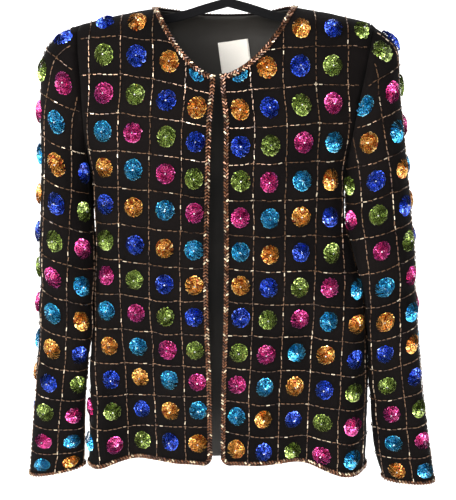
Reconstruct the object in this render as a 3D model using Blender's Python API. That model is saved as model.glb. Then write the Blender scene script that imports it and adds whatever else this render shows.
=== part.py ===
"""Collarless evening jacket with sequin rosettes, hanging open on a thin hanger.

Metres, +Z up, the front faces -Y. The origin is the inside top of the hanger's hook.
Every cloth piece is a flat pattern (across, level) laid on a surface that is worked out from
the garment's sections. Wearer's left is +X.
"""
import math
import bpy
import numpy as np
from mathutils import Vector
from mathutils.geometry import delaunay_2d_cdt

# Driving dimensions of the garment
CELL_WIDE = 0.042            # windowpane cell, across
CELL_HIGH = 0.048            # windowpane cell, down
FIRST_COLUMN = {-1: 0.90, 1: 0.94}     # front edge to the first upright bead line, in cells
FIRST_ROSETTE = {-1: 0.48, 1: 0.53}    # front edge to the first column of rosettes, in cells
FIRST_ROW_LEVEL = -0.143     # highest level bead line of the body
BODY_ROWS = 12
HEM_LEVEL = -0.7305
WALL = 0.002                 # cloth with its beadwork backing
LINING_WALL = 0.0012
LINING_GAP = 0.0009          # between the back and its lining
SEAM_HALF_GAP = 0.0002
NECK_AT = {-1: 0.093, 1: 0.085}            # neck point from the middle
FRONT_NECK_LEVEL = -0.186
BACK_NECK_DROP = 0.016
BACK_NECK_STEP = 0.010       # how much lower the back neck lies than the neck points at once
NECK_CURVE = 1.30            # 1 is a quarter ellipse, more is a straighter neckline
SECTION_POWER = 3.0          # roundness of the body's sections

# Shoulders
RIDGE_AT_NECK = -0.100
RIDGE_AT_TIP = -0.120
TIP_HALF = 0.192
ROUND_DROP = 0.040           # how far the cloth drops while it turns over the shoulder
ROUND_LENGTH = 0.066         # cloth used by that turn
UNDERARM_LEVEL = -0.315
ARMHOLE_CLOSING = 0.075      # height over which the armhole's foot rounds off

# Rosettes
ROSETTE_WIDE = 0.027
ROSETTE_HIGH = 0.030
ROSETTE_RISE = 0.0045
ROSETTE_SIDES = 8
ROSETTE_MARGIN = 0.0025      # least distance from a rosette to its panel's edge
EDGE_MARGIN = 0.005          # least distance from a panel's inner points to its edge
ROSETTE_CROWN = 0.55         # width of the flat top against the base

# Braid
BRAID_WIDE = 0.0072
BRAID_LIFT = 0.0023
BRAID_THICK = 0.0016
CUFF_BRAID_LIFT = {-1: 0.0014, 1: 0.0014}

# Body sections: level, front half depth, back half depth
DEPTHS = ((-0.080, 0.046, 0.040), (-0.200, 0.056, 0.046), (-0.315, 0.060, 0.050),
          (-0.450, 0.055, 0.044), (-0.600, 0.046, 0.034), (-0.760, 0.040, 0.026))
# Body half widths below the armholes: level, wearer's right, wearer's left
WIDTHS = ((-0.315, 0.186, 0.158), (-0.380, 0.183, 0.161), (-0.436, 0.184, 0.176), (-0.493, 0.188, 0.190),
          (-0.570, 0.1955, 0.199), (-0.640, 0.2005, 0.203), (-0.760, 0.204, 0.2025))
# Armhole's distance from the middle: level, wearer's right, wearer's left
ARMHOLES = ((-0.080, 0.196, 0.190), (-0.120, 0.196, 0.188), (-0.200, 0.192, 0.175),
            (-0.250, 0.190, 0.166), (-0.300, 0.187, 0.159), (-0.400, 0.186, 0.157))
# Front edges, x: level, wearer's right, wearer's left
EDGES = ((-0.080, -0.0160, -0.0110), (-0.190, -0.0160, -0.0105), (-0.240, -0.0205, -0.0058),
         (-0.300, -0.0228, -0.0060), (-0.480, -0.0265, -0.0058), (-0.620, -0.0230, -0.0095),
         (-0.760, -0.0225, -0.0110))
# Hanging folds, strongest at the hem: side (0 back), centre and half width in cells, forward at the hem
FOLDS = ((-1, 2.5, 0.85, -0.018), (-1, 4.0, 0.60, 0.014), (1, 1.3, 0.60, 0.006),
         (1, 2.6, 0.65, -0.007), (1, 4.2, 0.75, 0.025), (0, 1.4, 0.80, 0.006), (0, 3.3, 0.80, -0.007))
FOLD_START = -0.330
# Rise of the level bead lines on the fronts: line from the top, at 0, 1.5, 2.8 and 4.8 cells outwards
ROW_RISES = {
    -1: ((0, -0.020, -0.002, 0.004, 0.004), (1, -0.020, -0.004, 0.005, 0.004), (2, -0.013, -0.003, 0.004, 0.003),
         (4, -0.010, -0.002, 0.003, 0.003), (6, -0.009, -0.007, 0.000, 0.000), (9, -0.007, -0.006, -0.006, -0.006),
         (11, -0.002, -0.003, -0.009, -0.011), (12, -0.005, -0.006, -0.014, -0.016)),
    1: ((0, -0.010, -0.004, 0.000, 0.000), (1, -0.009, -0.005, 0.000, 0.000), (3, -0.006, -0.005, -0.002, -0.004),
        (6, -0.001, -0.006, -0.006, -0.014), (8, 0.001, -0.003, -0.004, -0.015),
        (10, -0.001, -0.007, -0.009, -0.016), (12, -0.002, -0.010, -0.012, -0.018))}
RISE_PLACES = (0.0, 1.5, 2.8, 4.8)
# Hem drop below HEM_LEVEL: cells from the front edge, drop
HEM_DROPS = ((0.0, 0.002), (1.5, 0.0), (3.0, 0.002), (4.2, 0.012), (5.2, 0.018), (7.0, 0.020), (11.0, 0.020))
FRONT_CORNER = 0.014         # rounded foot of each front edge

# Sleeve rings. row, outer x and level, inner x and level, half depth, forward
SLEEVE_RIGHT = ((-1.0, 0.196, -0.119, 0.120, -0.190, 0.040, 0.000), (0.0, 0.240, -0.150, 0.150, -0.212, 0.043, 0.000),
                (1.0, 0.250, -0.200, 0.176, -0.236, 0.044, 0.002), (3.0, 0.253, -0.303, 0.1887, -0.330, 0.043, 0.006),
                (5.0, 0.259, -0.403, 0.183, -0.430, 0.039, 0.012), (7.0, 0.2625, -0.504, 0.1915, -0.528, 0.034, 0.016),
                (9.0, 0.272, -0.606, 0.2045, -0.620, 0.027, 0.018), (11.0, 0.284, -0.707, 0.209, -0.710, 0.020, 0.018),
                (12.0, 0.2905, -0.757, 0.210, -0.742, 0.017, 0.018))
SLEEVE_LEFT = ((-1.0, 0.190, -0.121, 0.115, -0.192, 0.040, 0.000), (0.0, 0.224, -0.150, 0.132, -0.214, 0.043, 0.000),
               (1.0, 0.229, -0.202, 0.148, -0.240, 0.046, 0.004), (3.0, 0.242, -0.306, 0.1607, -0.334, 0.046, 0.010),
               (5.0, 0.255, -0.408, 0.166, -0.438, 0.042, 0.014), (7.0, 0.2635, -0.510, 0.191, -0.536, 0.036, 0.018),
               (9.0, 0.2745, -0.612, 0.2045, -0.628, 0.028, 0.020), (11.0, 0.2915, -0.716, 0.215, -0.716, 0.020, 0.020),
               (12.0, 0.302, -0.767, 0.228, -0.762, 0.017, 0.020))
# Sleeve rosette column nearest the outer line, in cells round from it: row, wearer's right, left
SLEEVE_DRIFT = ((-1.0, 0.55, 0.05), (0.5, 0.55, 0.02), (1.5, 0.38, -0.05), (2.5, 0.33, -0.14), (3.5, 0.27, -0.15),
                (4.5, 0.17, -0.24), (5.5, 0.07, -0.30), (7.5, -0.06, -0.30), (8.5, -0.16, -0.40),
                (9.5, -0.28, -0.50), (11.5, -0.35, -0.54), (13.0, -0.35, -0.54))
# Rows of cells against the rings above. They lie closer together towards the cuff.
SLEEVE_ROWS = {
    -1: ((-1.0, -1.0), (0.0, 0.01), (1.0, 1.10), (2.0, 2.19), (4.0, 4.30), (6.0, 6.345), (8.0, 8.40),
         (10.0, 10.33), (11.0, 11.17), (12.0, 12.0), (13.0, 13.0)),
    1: ((-1.0, -1.0), (0.0, 0.43), (1.0, 1.45), (2.0, 2.48), (4.0, 4.36), (6.0, 6.27), (8.0, 8.17),
        (10.0, 10.14), (11.0, 11.12), (12.0, 12.0), (13.0, 13.0))}
SLEEVE_CLEAR = 0.0022        # air between a sleeve and the side of the body
SLEEVE_ROSETTE_CLEAR = 0.0085 # rosettes of a sleeve end this far from the side of the body
SIDE_TOUCH_FOOT = -0.470     # down to here a sleeve hangs against the side of the body
SIDE_TOUCH_ROOM = 0.026      # rosettes of a front end this far before that side
SLEEVE_SEAM_STEP = 7         # armhole step, on the back, at which the underarm seam starts
SLEEVE_SCALE = 1.0 / 0.0505  # rows of cells in a metre down the sleeve
CUFF_ROW = 12.0
FOOT_ROW = 2.12              # row of cells at the armhole's foot
FOOT_START = -0.250          # level from which the cap's lines are drawn out to the foot

# Label
LABEL_CENTRE = (0.010, -0.162)
LABEL_SIZE = (0.042, 0.046)
LABEL_TILT = math.radians(8.0)
LABEL_THICK = 0.0009
LABEL_GAP = 0.0004

# Hanger
HOOK_RADIUS = 0.019
HOOK_WIRE = 0.0036
ARM_HALF_LENGTH = 0.172
ARM_THICK = 0.005
ARM_HIGH = 0.012
ARM_PROFILE = ((0.000, -0.086), (0.030, -0.094), (0.060, -0.103), (0.090, -0.1085), (0.120, -0.1118))
ARM_TOUCH = 0.0005

BLACK_CLOTH = (0.012, 0.010, 0.010)
CHARCOAL = (0.035, 0.033, 0.030)
BRONZE = (0.16, 0.08, 0.035)
LABEL_WHITE = (0.75, 0.72, 0.66)
HANGER_BLACK = (0.010, 0.010, 0.011)


def clear_scene():
    """Start from an empty file."""
    for item in list(bpy.data.objects):
        bpy.data.objects.remove(item, do_unlink=True)


def table_value(table, level, column):
    """Read a column of a table whose first column falls or rises steadily."""
    rows = sorted(table)
    keys = [row[0] for row in rows]
    return float(np.interp(level, keys, [row[column] for row in rows]))


def smooth_value(table, key, column):
    """Read a column through a smooth curve (Catmull-Rom) of its rows."""
    rows = sorted(table)
    keys = [row[0] for row in rows]
    key = min(max(key, keys[0]), keys[-1])
    i = min(max(int(np.searchsorted(keys, key)) - 1, 0), len(rows) - 2)
    before = rows[max(i - 1, 0)]
    start, end = rows[i], rows[i + 1]
    after = rows[min(i + 2, len(rows) - 1)]
    span = end[0] - start[0]
    t = (key - start[0]) / span
    slope_start = (end[column] - before[column]) / (end[0] - before[0])
    slope_end = (after[column] - start[column]) / (after[0] - start[0])
    return ((2 * t**3 - 3 * t**2 + 1) * start[column] + (t**3 - 2 * t**2 + t) * span * slope_start
            + (3 * t**2 - 2 * t**3) * end[column] + (t**3 - t**2) * span * slope_end)


def side_column(side):
    """Tables give the wearer's right (-X) first, then the wearer's left (+X)."""
    return 1 if side < 0 else 2


def ridge_level(x):
    """Level of the shoulder line at a distance from the middle."""
    share = (abs(x) - NECK_AT[-1]) / (TIP_HALF - NECK_AT[-1])
    share = min(max(share, -0.25), 1.2)
    return RIDGE_AT_NECK + (RIDGE_AT_TIP - RIDGE_AT_NECK) * share * (0.7 + 0.3 * max(share, 0.0))


def armhole_x(side, level):
    return smooth_value(ARMHOLES, level, side_column(side))


def armhole_depth_share(level):
    """How far the armhole's edge stands from the side line, as a share of the body's depth."""
    above = (level - UNDERARM_LEVEL) / ARMHOLE_CLOSING
    if above <= 0.0:
        return 0.0
    return 0.66 * math.sqrt(1.0 - (1.0 - min(above, 1.0)) ** 2)


def half_width(side, level):
    """Half width of the body's section. Beside the armhole it runs on to where the sleeve hangs."""
    if level <= UNDERARM_LEVEL:
        return smooth_value(WIDTHS, level, side_column(side))
    share = armhole_depth_share(level)
    return armhole_x(side, level) / (1.0 - share ** SECTION_POWER) ** (1.0 / SECTION_POWER)


def quarter(width, depth):
    """Points and lengths along one quarter of a section, from the middle to the side line."""
    turn = np.linspace(0.0, math.pi / 2.0, 90)
    x = width * np.sin(turn) ** (2.0 / SECTION_POWER)
    y = depth * np.cos(turn) ** (2.0 / SECTION_POWER)
    x[0], y[-1] = 0.0, 0.0
    length = np.concatenate(([0.0], np.cumsum(np.hypot(np.diff(x), np.diff(y)))))
    return x, y, length


def quarter_point(width, depth, along):
    """Distance along a quarter, as x from the middle and y from the side line, and on past it."""
    x, y, length = quarter(width, depth)
    if along <= 0.0:
        return along, depth
    if along > length[-1]:
        return float(np.interp(2.0 * length[-1] - along, length, x)), length[-1] - along
    return float(np.interp(along, length, x)), float(np.interp(along, length, y))


def fold_shift(kind, along, room, level):
    """Forward shift of the cloth by the hanging folds. They die out at the side line and the chest."""
    if level >= FOLD_START:
        return 0.0
    fade = ((FOLD_START - level) / (FOLD_START - HEM_LEVEL)) ** 1.4
    fade *= min(max(room / 0.035, 0.0), 1.0)
    cells = along / CELL_WIDE
    shift = 0.0
    for side, centre, wide, forward in FOLDS:
        if side == kind:
            shift += forward * math.exp(-((cells - centre) / wide) ** 2)
    return shift * fade


def over_shoulder(x, y, level):
    """Lay the cloth over the shoulder where its level rises past the turn."""
    turn_start = ridge_level(x) - ROUND_DROP
    if level <= turn_start:
        return x, y, level
    turn = min((level - turn_start) / ROUND_LENGTH, 1.0) * math.pi / 2.0
    return x, y * math.cos(turn), turn_start + ROUND_DROP * math.sin(turn)


def front_edge_x(side, level):
    return smooth_value(EDGES, level, side_column(side))


def front_length(side, level):
    """Cloth from the front edge to the side line."""
    depth = table_value(DEPTHS, level, 1)
    return quarter(half_width(side, level), depth)[2][-1] - side * front_edge_x(side, level)


def front_point(side, along, level):
    """Outer face of a front: along from its front edge, at a level of the pattern."""
    depth = table_value(DEPTHS, level, 1)
    from_middle = along + side * front_edge_x(side, level)
    room = front_length(side, level) - along
    x, y = quarter_point(half_width(side, level), depth, from_middle)
    y += fold_shift(side, along, room, level)
    return over_shoulder(side * x, -y, level)


def back_length(side, level):
    return quarter(half_width(side, level), table_value(DEPTHS, level, 2))[2][-1]


def back_point(along, level):
    """Outer face of the back: along from the middle, wearer's left positive."""
    side = 1 if along >= 0.0 else -1
    depth = table_value(DEPTHS, level, 2)
    x, y = quarter_point(half_width(side, level), depth, abs(along))
    y -= fold_shift(0, abs(along), back_length(side, level) - abs(along), level)
    return over_shoulder(side * x, y, level)


def hem_level(side_cells):
    return HEM_LEVEL - smooth_value(HEM_DROPS, side_cells, 1)


def body_limit(side, level):
    """The side of the body, that a sleeve stays outside of."""
    if level > UNDERARM_LEVEL:
        return armhole_x(side, level) + 2.0 * SEAM_HALF_GAP
    below = min((UNDERARM_LEVEL - level) / 0.03, 1.0)
    return half_width(side, level) + 2.0 * SEAM_HALF_GAP + SLEEVE_CLEAR * below


def sleeve_ring(side, row):
    """One ring of a sleeve: two ends in the front view, the half depth and the shift forward."""
    table = SLEEVE_RIGHT if side < 0 else SLEEVE_LEFT
    ring = table_value(SLEEVE_ROWS[side], row, 1)
    values = [smooth_value(table, ring, column) for column in range(1, 7)]
    outer = np.array((values[0], 0.0, values[1]))
    inner = np.array((values[2], 0.0, values[3]))
    return outer, inner, values[4], values[5]


def ring_lengths(side, row):
    """Angles round a ring and the cloth used up to each, from the outer line."""
    outer, inner, deep, _ = sleeve_ring(side, row)
    half = np.linalg.norm(outer - inner) / 2.0
    turn = np.linspace(0.0, 2.0 * math.pi, 181)
    across = half * np.cos(turn)
    depth = deep * np.sin(turn)
    length = np.concatenate(([0.0], np.cumsum(np.hypot(np.diff(across), np.diff(depth)))))
    return turn, length


def sleeve_point(side, along, row):
    """Outer face of a sleeve: along from its outer line, forward positive, at a row of cells."""
    outer, inner, deep, forward = sleeve_ring(side, row)
    turn, length = ring_lengths(side, row)
    angle = float(np.interp(along % length[-1], length, turn))
    centre = (outer + inner) / 2.0
    point = centre + (outer - inner) / 2.0 * math.cos(angle)
    y = -deep * math.sin(angle) - forward
    limit = body_limit(side, point[2])
    return side * max(point[0], limit), y, float(point[2])


class Surface:
    """A smooth surface read at a grid of breaks, so that outer and inner faces share their facets."""

    def __init__(self, shape, across, levels, outward):
        self.across = np.array(sorted(across))
        self.levels = np.array(sorted(levels))
        self.shape = shape
        self.outward = outward
        self.points = np.array([[shape(a, v) for v in self.levels] for a in self.across])
        self.normals = np.array([[self.normal(a, v) for v in self.levels] for a in self.across])

    def normal(self, a, v):
        step = 0.001
        level_step = step * (self.levels[-1] - self.levels[0]) / 0.6
        da = np.subtract(self.shape(a + step, v), self.shape(a - step, v))
        dv = np.subtract(self.shape(a, v + level_step), self.shape(a, v - level_step))
        n = np.cross(da, dv) * self.outward
        size = np.linalg.norm(n)
        return n / size if size > 1e-12 else np.array((0.0, 0.0, 1.0))

    def exact(self, a, v, height):
        """The smooth surface's own point at (a, v), moved out by height."""
        return np.array(self.shape(a, v)) + self.normal(a, v) * height

    def at(self, a, v, height):
        """The facet's point at (a, v), moved out by height."""
        i = int(np.clip(np.searchsorted(self.across, a) - 1, 0, len(self.across) - 2))
        j = int(np.clip(np.searchsorted(self.levels, v) - 1, 0, len(self.levels) - 2))
        s = (a - self.across[i]) / (self.across[i + 1] - self.across[i])
        t = (v - self.levels[j]) / (self.levels[j + 1] - self.levels[j])
        point, normal = (
            (1 - s) * (1 - t) * grid[i, j] + s * (1 - t) * grid[i + 1, j]
            + (1 - s) * t * grid[i, j + 1] + s * t * grid[i + 1, j + 1]
            for grid in (self.points, self.normals))
        return point + normal / np.linalg.norm(normal) * height


def inside(outline, point, margin):
    """True where a pattern point lies in the outline, at least the margin from its edge."""
    x, y = point
    within = False
    nearest = 1.0
    for k, (x1, y1) in enumerate(outline):
        x2, y2 = outline[(k + 1) % len(outline)]
        if (y1 > y) != (y2 > y) and x < (x2 - x1) * (y - y1) / (y2 - y1) + x1:
            within = not within
        run = (x2 - x1) ** 2 + (y2 - y1) ** 2
        t = min(max(((x - x1) * (x2 - x1) + (y - y1) * (y2 - y1)) / run, 0.0), 1.0)
        nearest = min(nearest, math.hypot(x - x1 - t * (x2 - x1), y - y1 - t * (y2 - y1)))
    return within and nearest >= margin


def rosette_rings(centre):
    """Base ring and crown ring of a rosette in the pattern."""
    base, crown = [], []
    for k in range(ROSETTE_SIDES):
        turn = 2.0 * math.pi * k / ROSETTE_SIDES
        base.append((centre[0] + math.sin(turn) * ROSETTE_WIDE / 2.0,
                     centre[1] + math.cos(turn) * ROSETTE_HIGH / 2.0))
    for k in range(ROSETTE_SIDES // 2):
        turn = 4.0 * math.pi * k / ROSETTE_SIDES
        crown.append((centre[0] + math.sin(turn) * ROSETTE_WIDE / 2.0 * ROSETTE_CROWN,
                      centre[1] + math.cos(turn) * ROSETTE_HIGH / 2.0 * ROSETTE_CROWN))
    return base, crown


def triangulate(outline, inner_points, edges):
    """Fill a pattern outline with triangles on the given points, keeping the given edges."""
    points = [Vector(p) for p in outline] + [Vector(p) for p in inner_points]
    ring = list(range(len(outline)))
    verts, _, faces, origin, _, _ = delaunay_2d_cdt(points, edges, [ring], 1, 1e-7)
    if len(verts) != len(points):
        raise ValueError("a pattern's lines cross")
    order = [source[0] for source in origin]
    return [tuple(order[i] for i in face) for face in faces]


ON_LINE = 0.000001           # a rosette this near an upright line is threaded on it


def grid_points(outline, across, levels, margin, rosettes=()):
    """Pattern grid points inside the outline and off the rosettes, and the upright lines between them."""
    index = {}
    points = []
    for i, a in enumerate(across):
        for j, v in enumerate(levels):
            under = any(math.hypot((a - x) / ROSETTE_WIDE, (v - y) / ROSETTE_HIGH) < 0.55 for x, y in rosettes)
            if not under and inside(outline, (a, v), margin):
                index[i, j] = len(outline) + len(points)
                points.append((a, v))
    edges = []
    for (i, j), here in index.items():
        beside = any(ON_LINE < abs(across[i] - x) < ROSETTE_WIDE * 0.55
                     and abs((levels[j] + levels[min(j + 1, len(levels) - 1)]) / 2.0 - y) < ROSETTE_HIGH for x, y in rosettes)
        if (i, j + 1) in index and not beside:
            edges.append((here, index[i, j + 1]))
    return points, edges


def counter_clockwise(outline):
    area = sum(p[0] * q[1] - q[0] * p[1] for p, q in zip(outline, outline[1:] + outline[:1]))
    return list(outline) if area > 0.0 else list(reversed(outline))


def cloth_wall(name, surface, outline, grid, rosettes, colour, faces=(0.0, -WALL), scale=1.0, edge_point=None):
    """A cloth piece: rosettes raised in the outer face, a plain inner face, a rim between them.

    scale is pattern units per metre down, so that sleeves can count rows instead of metres.
    """
    outline = counter_clockwise(outline)
    flat = [(a, v / scale) for a, v in outline]
    across, levels = grid
    level_list = [v / scale for v in levels]
    inner_grid, edges = grid_points(flat, across, level_list, EDGE_MARGIN)
    inner_faces = triangulate(flat, inner_grid, edges)
    rings = [((a, v / scale), rosette_rings((a, v / scale))) for a, v in rosettes]
    rings = [(centre, ring) for centre, ring in rings
             if all(inside(flat, p, ROSETTE_MARGIN) for p in ring[0])]
    outer_grid, outer_edges = grid_points(flat, across, level_list, EDGE_MARGIN, [centre for centre, _ in rings])
    crowns = []
    for _, (base, crown) in rings:
        first = len(flat) + len(outer_grid)
        outer_grid += base
        outer_edges += [(first + k, first + (k + 1) % ROSETTE_SIDES) for k in range(ROSETTE_SIDES)]
        crowns.append((first, crown))
    outer_faces = triangulate(flat, outer_grid, outer_edges)
    covered = {first: set(range(first, first + ROSETTE_SIDES)) for first, _ in crowns}
    first_of = {i: first for first, ring in covered.items() for i in ring}
    outer_faces = [f for f in outer_faces
                   if not (f[0] in first_of and set(f) <= covered[first_of[f[0]]])]

    def place(p, k, height):
        if edge_point is not None and k < len(flat):
            return edge_point(p[0], p[1] * scale, height)
        return surface.at(p[0], p[1] * scale, height)

    outer_all = flat + outer_grid
    verts = [place(p, k, faces[0]) for k, p in enumerate(outer_all)]
    mesh_faces = [tuple(f) for f in outer_faces]
    for first, crown in crowns:
        top = len(verts)
        verts += [surface.at(p[0], p[1] * scale, faces[0] + ROSETTE_RISE) for p in crown]
        count = len(crown)
        for k in range(count):
            mid = first + 2 * k
            follow = first + (2 * k + 1)
            last = first + (2 * k + 2) % ROSETTE_SIDES
            here, ahead = top + k, top + (k + 1) % count
            mesh_faces += [(mid, here, follow), (follow, here, ahead), (follow, ahead, last)]
        mesh_faces += [(top, top + 3, top + 2), (top, top + 2, top + 1)]
    base = len(verts)
    inner_all = flat + inner_grid
    verts += [place(p, k, faces[1]) for k, p in enumerate(inner_all)]
    mesh_faces += [tuple(base + i for i in reversed(f)) for f in inner_faces]
    count = len(flat)
    for k in range(count):
        ahead = (k + 1) % count
        mesh_faces += [(k, base + k, base + ahead), (k, base + ahead, ahead)]
    return solid(name, verts, mesh_faces, colour)


def solid(name, verts, faces, colour, roughness=0.6, metallic=0.0):
    """A named object from points and faces, facing out, with its own material."""
    mesh = bpy.data.meshes.new(name)
    mesh.from_pydata([tuple(float(c) for c in v) for v in verts], [], faces)
    mesh.update()
    volume = 0.0
    for face in mesh.polygons:
        corners = [mesh.vertices[i].co for i in face.vertices]
        for k in range(1, len(corners) - 1):
            volume += corners[0].dot(corners[k].cross(corners[k + 1]))
    if volume < 0.0:
        mesh.flip_normals()
    material = bpy.data.materials.new(name)
    material.use_nodes = True
    shader = material.node_tree.nodes["Principled BSDF"]
    shader.inputs["Base Color"].default_value = (*colour, 1.0)
    shader.inputs["Roughness"].default_value = roughness
    shader.inputs["Metallic"].default_value = metallic
    mesh.materials.append(material)
    item = bpy.data.objects.new(name, mesh)
    bpy.context.scene.collection.objects.link(item)
    return item


def columns(side, count):
    """Upright bead lines and the rosette lines between them, from an edge."""
    lines = [0.0, FIRST_ROSETTE[side] * CELL_WIDE]
    first = FIRST_COLUMN[side]
    for k in range(count):
        lines += [(first + k) * CELL_WIDE, (first + k + 0.5) * CELL_WIDE]
    return lines


def body_levels(shift):
    """Level bead lines from the shoulder to below the hem."""
    levels = [-0.050, -0.068, -0.085, -0.102, -0.122]
    levels += [FIRST_ROW_LEVEL + shift - CELL_HIGH * k for k in range(BODY_ROWS + 1)]
    return levels + [levels[-1] - 0.03]


SEAM_LEVELS = [-0.315 - 0.0375 * k for k in range(11)]
SHOULDER_STEPS = (0.0, 0.075, 0.28, 0.52, 0.76, 1.0)
ARMHOLE_STEPS = (1.0, 0.86, 0.72, 0.58, 0.44, 0.32, 0.20, 0.10, 0.035, 0.0)
ROW_SHIFT = {-1: 0.002, 0: -0.002, 1: -0.006}


def ridge_pattern(x):
    """Pattern level of the shoulder line."""
    return ridge_level(x) - ROUND_DROP + ROUND_LENGTH


def tip_x(side):
    return armhole_x(side, RIDGE_AT_TIP)


def shoulder_line(side):
    """Distances from the middle along the shoulder, neck point to tip, with their pattern levels."""
    tip = tip_x(side)
    places = [NECK_AT[side] + (tip - NECK_AT[side]) * step for step in SHOULDER_STEPS]
    return [(x, ridge_pattern(x)) for x in places]


def armhole_line(side):
    """Levels of the armhole's edge, tip to foot, with its distance from the middle."""
    top = ridge_pattern(tip_x(side))
    levels = [UNDERARM_LEVEL + (top - UNDERARM_LEVEL) * step for step in ARMHOLE_STEPS]
    return [(armhole_x(side, level), level) for level in levels]


def along_at(side, x, level, column):
    """Length of cloth from the middle to a distance x, on the front (column 1) or back (column 2)."""
    xs, _, length = quarter(half_width(side, level), table_value(DEPTHS, level, column))
    return float(np.interp(x, xs, length))


def neck_front(side):
    """Front neck edge, from the front edge up to the neck point: (x, pattern level)."""
    start = side * front_edge_x(side, FRONT_NECK_LEVEL)
    end = NECK_AT[side]
    top = ridge_pattern(end)
    line = []
    for k in range(9):
        turn = math.pi / 2.0 * k / 8
        x = start + (end - start) * math.sin(turn) ** NECK_CURVE
        line.append((x, top - (top - FRONT_NECK_LEVEL) * math.cos(turn) ** NECK_CURVE))
    line[-1] = (end, top)
    return line


def neck_back():
    """Back neck edge, wearer's right neck point to the left one: (x, pattern level)."""
    tops = {side: ridge_pattern(NECK_AT[side]) for side in (-1, 1)}
    middle = (tops[-1] + tops[1]) / 2.0
    line = []
    for k in range(13):
        side = -1 if k < 6 else 1
        share = abs(k / 6.0 - 1.0)
        dip = BACK_NECK_DROP * (1.0 - share ** 2.4) + BACK_NECK_STEP * (1.0 - share ** 8)
        line.append((side * NECK_AT[side] * share, middle + (tops[side] - middle) * share - dip))
    return line


def front_outline(side, gap=SEAM_HALF_GAP):
    """Pattern outline of a front: (along from the front edge, level)."""
    def along(x, level):
        return along_at(side, x, level, 1) - side * front_edge_x(side, level) if x > 0.0 else 0.0
    neck = [(max(along(x, v), 0.0), v) for x, v in neck_front(side)]
    neck[0] = (0.0, FRONT_NECK_LEVEL)
    shoulder = [(along(x, v - gap), v - gap) for x, v in shoulder_line(side)]
    armhole = [(along(x, v) - gap, v) for x, v in armhole_line(side)[1:-1]]
    seam = [(front_length(side, v) - gap, v) for v in SEAM_LEVELS]
    foot = hem_level(front_length(side, HEM_LEVEL) / CELL_WIDE)
    seam_foot = (front_length(side, foot) - gap, foot)
    stops = [a for a in reversed(columns(side, 5)) if FRONT_CORNER + 0.004 < a < seam_foot[0] - 0.006]
    hem = [(a, hem_level(a / CELL_WIDE)) for a in stops]
    bottom = hem_level(0.0)
    corner = []
    for k in range(4):
        turn = math.pi / 2.0 * k / 3
        corner.append((FRONT_CORNER * (1.0 - math.sin(turn)), bottom + FRONT_CORNER * (1.0 - math.cos(turn))))
    edge = [(0.0, v) for v in reversed(body_levels(ROW_SHIFT[side])) if bottom + 0.02 < v < FRONT_NECK_LEVEL - 0.004]
    return neck[:-1] + shoulder + armhole + seam + [seam_foot] + hem + corner + edge


def back_outline(gap=SEAM_HALF_GAP):
    """Pattern outline of the back: (along from the middle, level)."""
    halves = {}
    for side in (-1, 1):
        shoulder = [(side * along_at(side, x, v - gap, 2), v - gap) for x, v in shoulder_line(side)]
        armhole = [(side * (along_at(side, x, v, 2) - gap), v) for x, v in armhole_line(side)[1:-1]]
        seam = [(side * (back_length(side, v) - gap), v) for v in SEAM_LEVELS]
        foot = hem_level(front_length(side, HEM_LEVEL) / CELL_WIDE)
        end = (side * (back_length(side, foot) - gap), foot)
        halves[side] = shoulder + armhole + seam + [end]
    neck = [(math.copysign(along_at(1 if x >= 0 else -1, abs(x), v, 2), x), v) for x, v in neck_back()]
    reach = min(abs(halves[-1][-1][0]), halves[1][-1][0]) - 0.006
    stops = [0.5 * k * CELL_WIDE for k in range(12) if 0.5 * k * CELL_WIDE < reach]
    hem = [(a, hem_level(5.5)) for a in sorted(stops + [-a for a in stops if a > 0.0])]
    return neck[1:-1] + halves[1] + list(reversed(hem)) + list(reversed(halves[-1]))


def front_row_level(side, cells, line):
    """Pattern level of a level bead line of a front, counted from the top, at cells from its edge."""
    rises = [smooth_value(ROW_RISES[side], line, column) for column in range(1, 5)]
    rise = float(np.interp(cells, RISE_PLACES, rises))
    return FIRST_ROW_LEVEL + ROW_SHIFT[side] - CELL_HIGH * line + rise


def front_rosettes(side):
    """Rosette centres of a front. The ones that an edge would cut are dropped by the panel."""
    centres = []
    for row in range(-1, BODY_ROWS):
        for column in range(6):
            cells = FIRST_ROSETTE[side] if column == 0 else FIRST_COLUMN[side] + column - 0.5
            along, level = cells * CELL_WIDE, front_row_level(side, cells, row + 0.5)
            beside_sleeve = SIDE_TOUCH_FOOT < level < UNDERARM_LEVEL
            if not beside_sleeve or front_length(side, level) - along > SIDE_TOUCH_ROOM:
                centres.append((along, level))
    return centres


def back_rosettes():
    return [((k + 0.5) * CELL_WIDE, FIRST_ROW_LEVEL + ROW_SHIFT[0] - CELL_HIGH * (row + 0.5))
            for row in range(-1, BODY_ROWS) for k in range(-5, 5)]


def make_fronts():
    surfaces = {}
    for side, name in ((-1, "front_right"), (1, "front_left")):
        across = columns(side, 6)
        levels = body_levels(ROW_SHIFT[side])
        surface = Surface(lambda a, v, s=side: front_point(s, a, v), across, levels, side)
        surfaces[side] = surface
        cloth_wall(name, surface, front_outline(side), (across, levels), front_rosettes(side),
                   BLACK_CLOTH, edge_point=surface.exact)
    return surfaces


def make_back():
    lines = [0.0] + [k * 0.5 * CELL_WIDE for k in range(1, 13)]
    across = sorted(set(lines + [-a for a in lines]))
    levels = body_levels(ROW_SHIFT[0])
    surface = Surface(back_point, across, levels, -1)
    cloth_wall("back", surface, back_outline(), (across, levels), back_rosettes(), BLACK_CLOTH,
               edge_point=surface.exact)
    cloth_wall("back_lining", surface, back_outline(), (across, levels), [], CHARCOAL,
               faces=(-WALL - LINING_GAP, -WALL - LINING_GAP - LINING_WALL), edge_point=surface.exact)
    return surface


def sleeve_circumference(side, row):
    return float(ring_lengths(side, row)[1][-1])


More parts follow.
